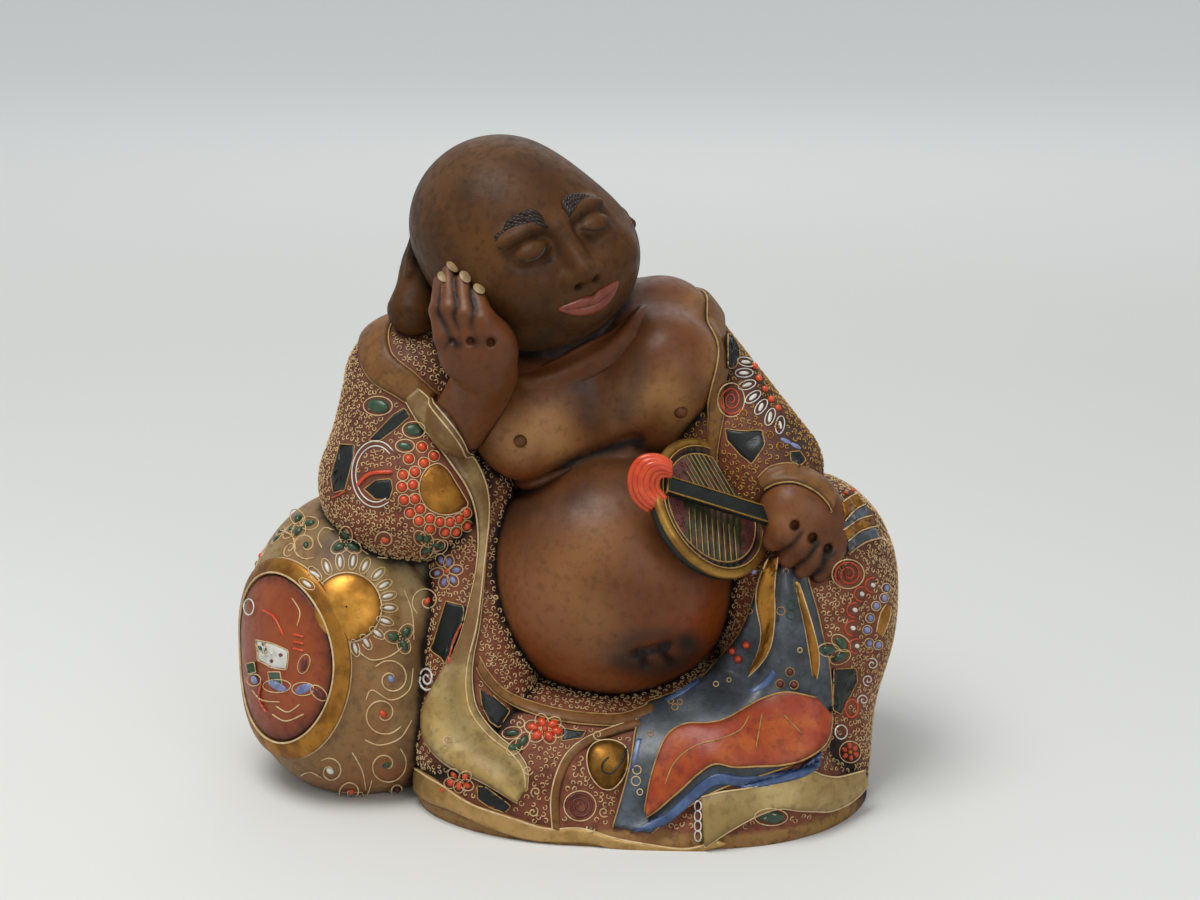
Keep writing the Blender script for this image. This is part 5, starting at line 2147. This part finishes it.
def thinned(points, spacing, rng):
    """Indices of points no nearer than the spacing. A few rounds of: keep one point in each cube
    of every shifted lattice, then strike out what lies too near to the kept ones."""
    kept = np.empty(0, int)
    pool = rng.permutation(len(points))
    for _ in range(9):
        chosen = pool
        for step in STEPS:
            if (step >= 0).all():
                _, first = np.unique(cubes(points[chosen] + step * spacing, 2 * spacing), return_index=True)
                chosen = chosen[np.sort(first)]
        kept = np.append(kept, chosen)
        order = np.argsort(cubes(points[kept], spacing))
        keys = cubes(points[kept], spacing)[order]
        near = np.zeros(len(pool), bool)
        for step in STEPS:
            wanted = cubes(points[pool] + step * spacing, spacing)
            place = np.minimum(np.searchsorted(keys, wanted), len(keys) - 1)
            apart = np.linalg.norm(points[pool] - points[kept[order[place]]], axis=-1)
            near |= (keys[place] == wanted) & (apart < spacing)
        pool = pool[~near]
    return kept


MASSES = {"torso_skin": skin, "right_sleeve_cloth": right_sleeve, "left_sleeve_cloth": left_sleeve, "left_knee_cloth": knee,
          "right_lap_cloth": lap, "front_skirt_cloth": skirt, "back_of_robe_cloth": back, "sack_bag": sack, "head": plain_head,
          "arm": nearest(right_hand, left_hand)}
covers, _ = surface_of([name for name in made if name not in MASSES and "lines" not in name and "fan" not in name])
busy_points = np.vstack(busy)


def curl_mesh(at, normals, size, radius, rng):
    """c + r(t) (cos a right + sin a up), a open loop of eight steps round each centre."""
    turn = rng.uniform(0, 2 * np.pi, len(at))[:, None] + np.linspace(0, 4.9, 8) * rng.choice([-1, 1], len(at))[:, None]
    right = np.cross(normals, rng.normal(size=(len(at), 3)))
    right /= np.linalg.norm(right, axis=-1, keepdims=True) + 1e-9
    up = np.cross(normals, right)
    r = (size * rng.uniform(0.85, 1.1, len(at)))[:, None] * np.linspace(1.1, 0.62, 8)
    flat = right[:, None] * (r * np.cos(turn))[..., None] + up[:, None] * (r * np.sin(turn))[..., None]
    path = at[:, None] + flat + normals[:, None] * (radius * 0.6)
    return tubes(path, np.repeat(normals[:, None], 8, 1), radius, 3)


def curl_field(name, spacing, size, radius, material, low=2.5, keep=None, seed=0):
    """Fills the open part of one cloth piece."""
    rng = np.random.default_rng(seed)
    points, normals = surface_of([name])
    free = points[:, 2] > low
    for other, field in MASSES.items():
        if other != name:
            free &= field(points) > 0.7
    if keep is not None:
        free &= keep(points, normals)
    points, normals = points[free], normals[free]
    open_air = ~touches(points, covers, 1.4) & ~touches(points, busy_points, 1.1)
    points, normals = points[open_air], normals[open_air]
    chosen = thinned(points, spacing, rng)
    mesh = curl_mesh(points[chosen], normals[chosen], size, radius, rng)
    print(name, len(chosen), "curls", flush=True)
    add_piece(name.replace("cloth", "curls"), *mesh, CREAM, material)


for seed, (name, spacing, material) in enumerate((("right_sleeve_cloth", 2.15, curl_paint), ("left_sleeve_cloth", 2.2, gold_curl_paint),
                                                   ("left_knee_cloth", 2.15, curl_paint), ("right_lap_cloth", 2.1, curl_paint),
                                                   ("front_skirt_cloth", 2.15, curl_paint), ("back_of_robe_cloth", 2.7, curl_paint))):
    curl_field(name, spacing, 1.0, 0.29, material, FOOT_BAND + 1.2, seed=seed)

# %% [markdown]
# ## Colours of the ornaments
# All lines, beads and patches of one colour are one piece, as they come from one pot.

# %% Piles into pieces
POTS = {"cream": (CREAM, slip_paint), "tan": (TAN, dark_slip_paint), "dark": (BLACK, black_paint), "white": (CREAM, white_paint),
        "orange": (VERMILION, orange_paint), "red": (VERMILION, red_slip_paint), "maroon": (VERMILION, maroon_paint),
        "green": (MOSS, green_paint), "lavender": (SLATE, lavender_paint), "blue": (SLATE, blue_paint), "slate": (SLATE, slate_paint),
        "black": (BLACK, black_paint), "gold": (GOLD, gold_paint)}
for pot, meshes in piles.items():
    points, faces = together(*meshes)
    print(pot, len(meshes), "ornaments,", len(faces), "faces")
    mesh_slot, paint = POTS[pot]
    add_piece("ornaments_" + pot, points, faces, mesh_slot, paint)
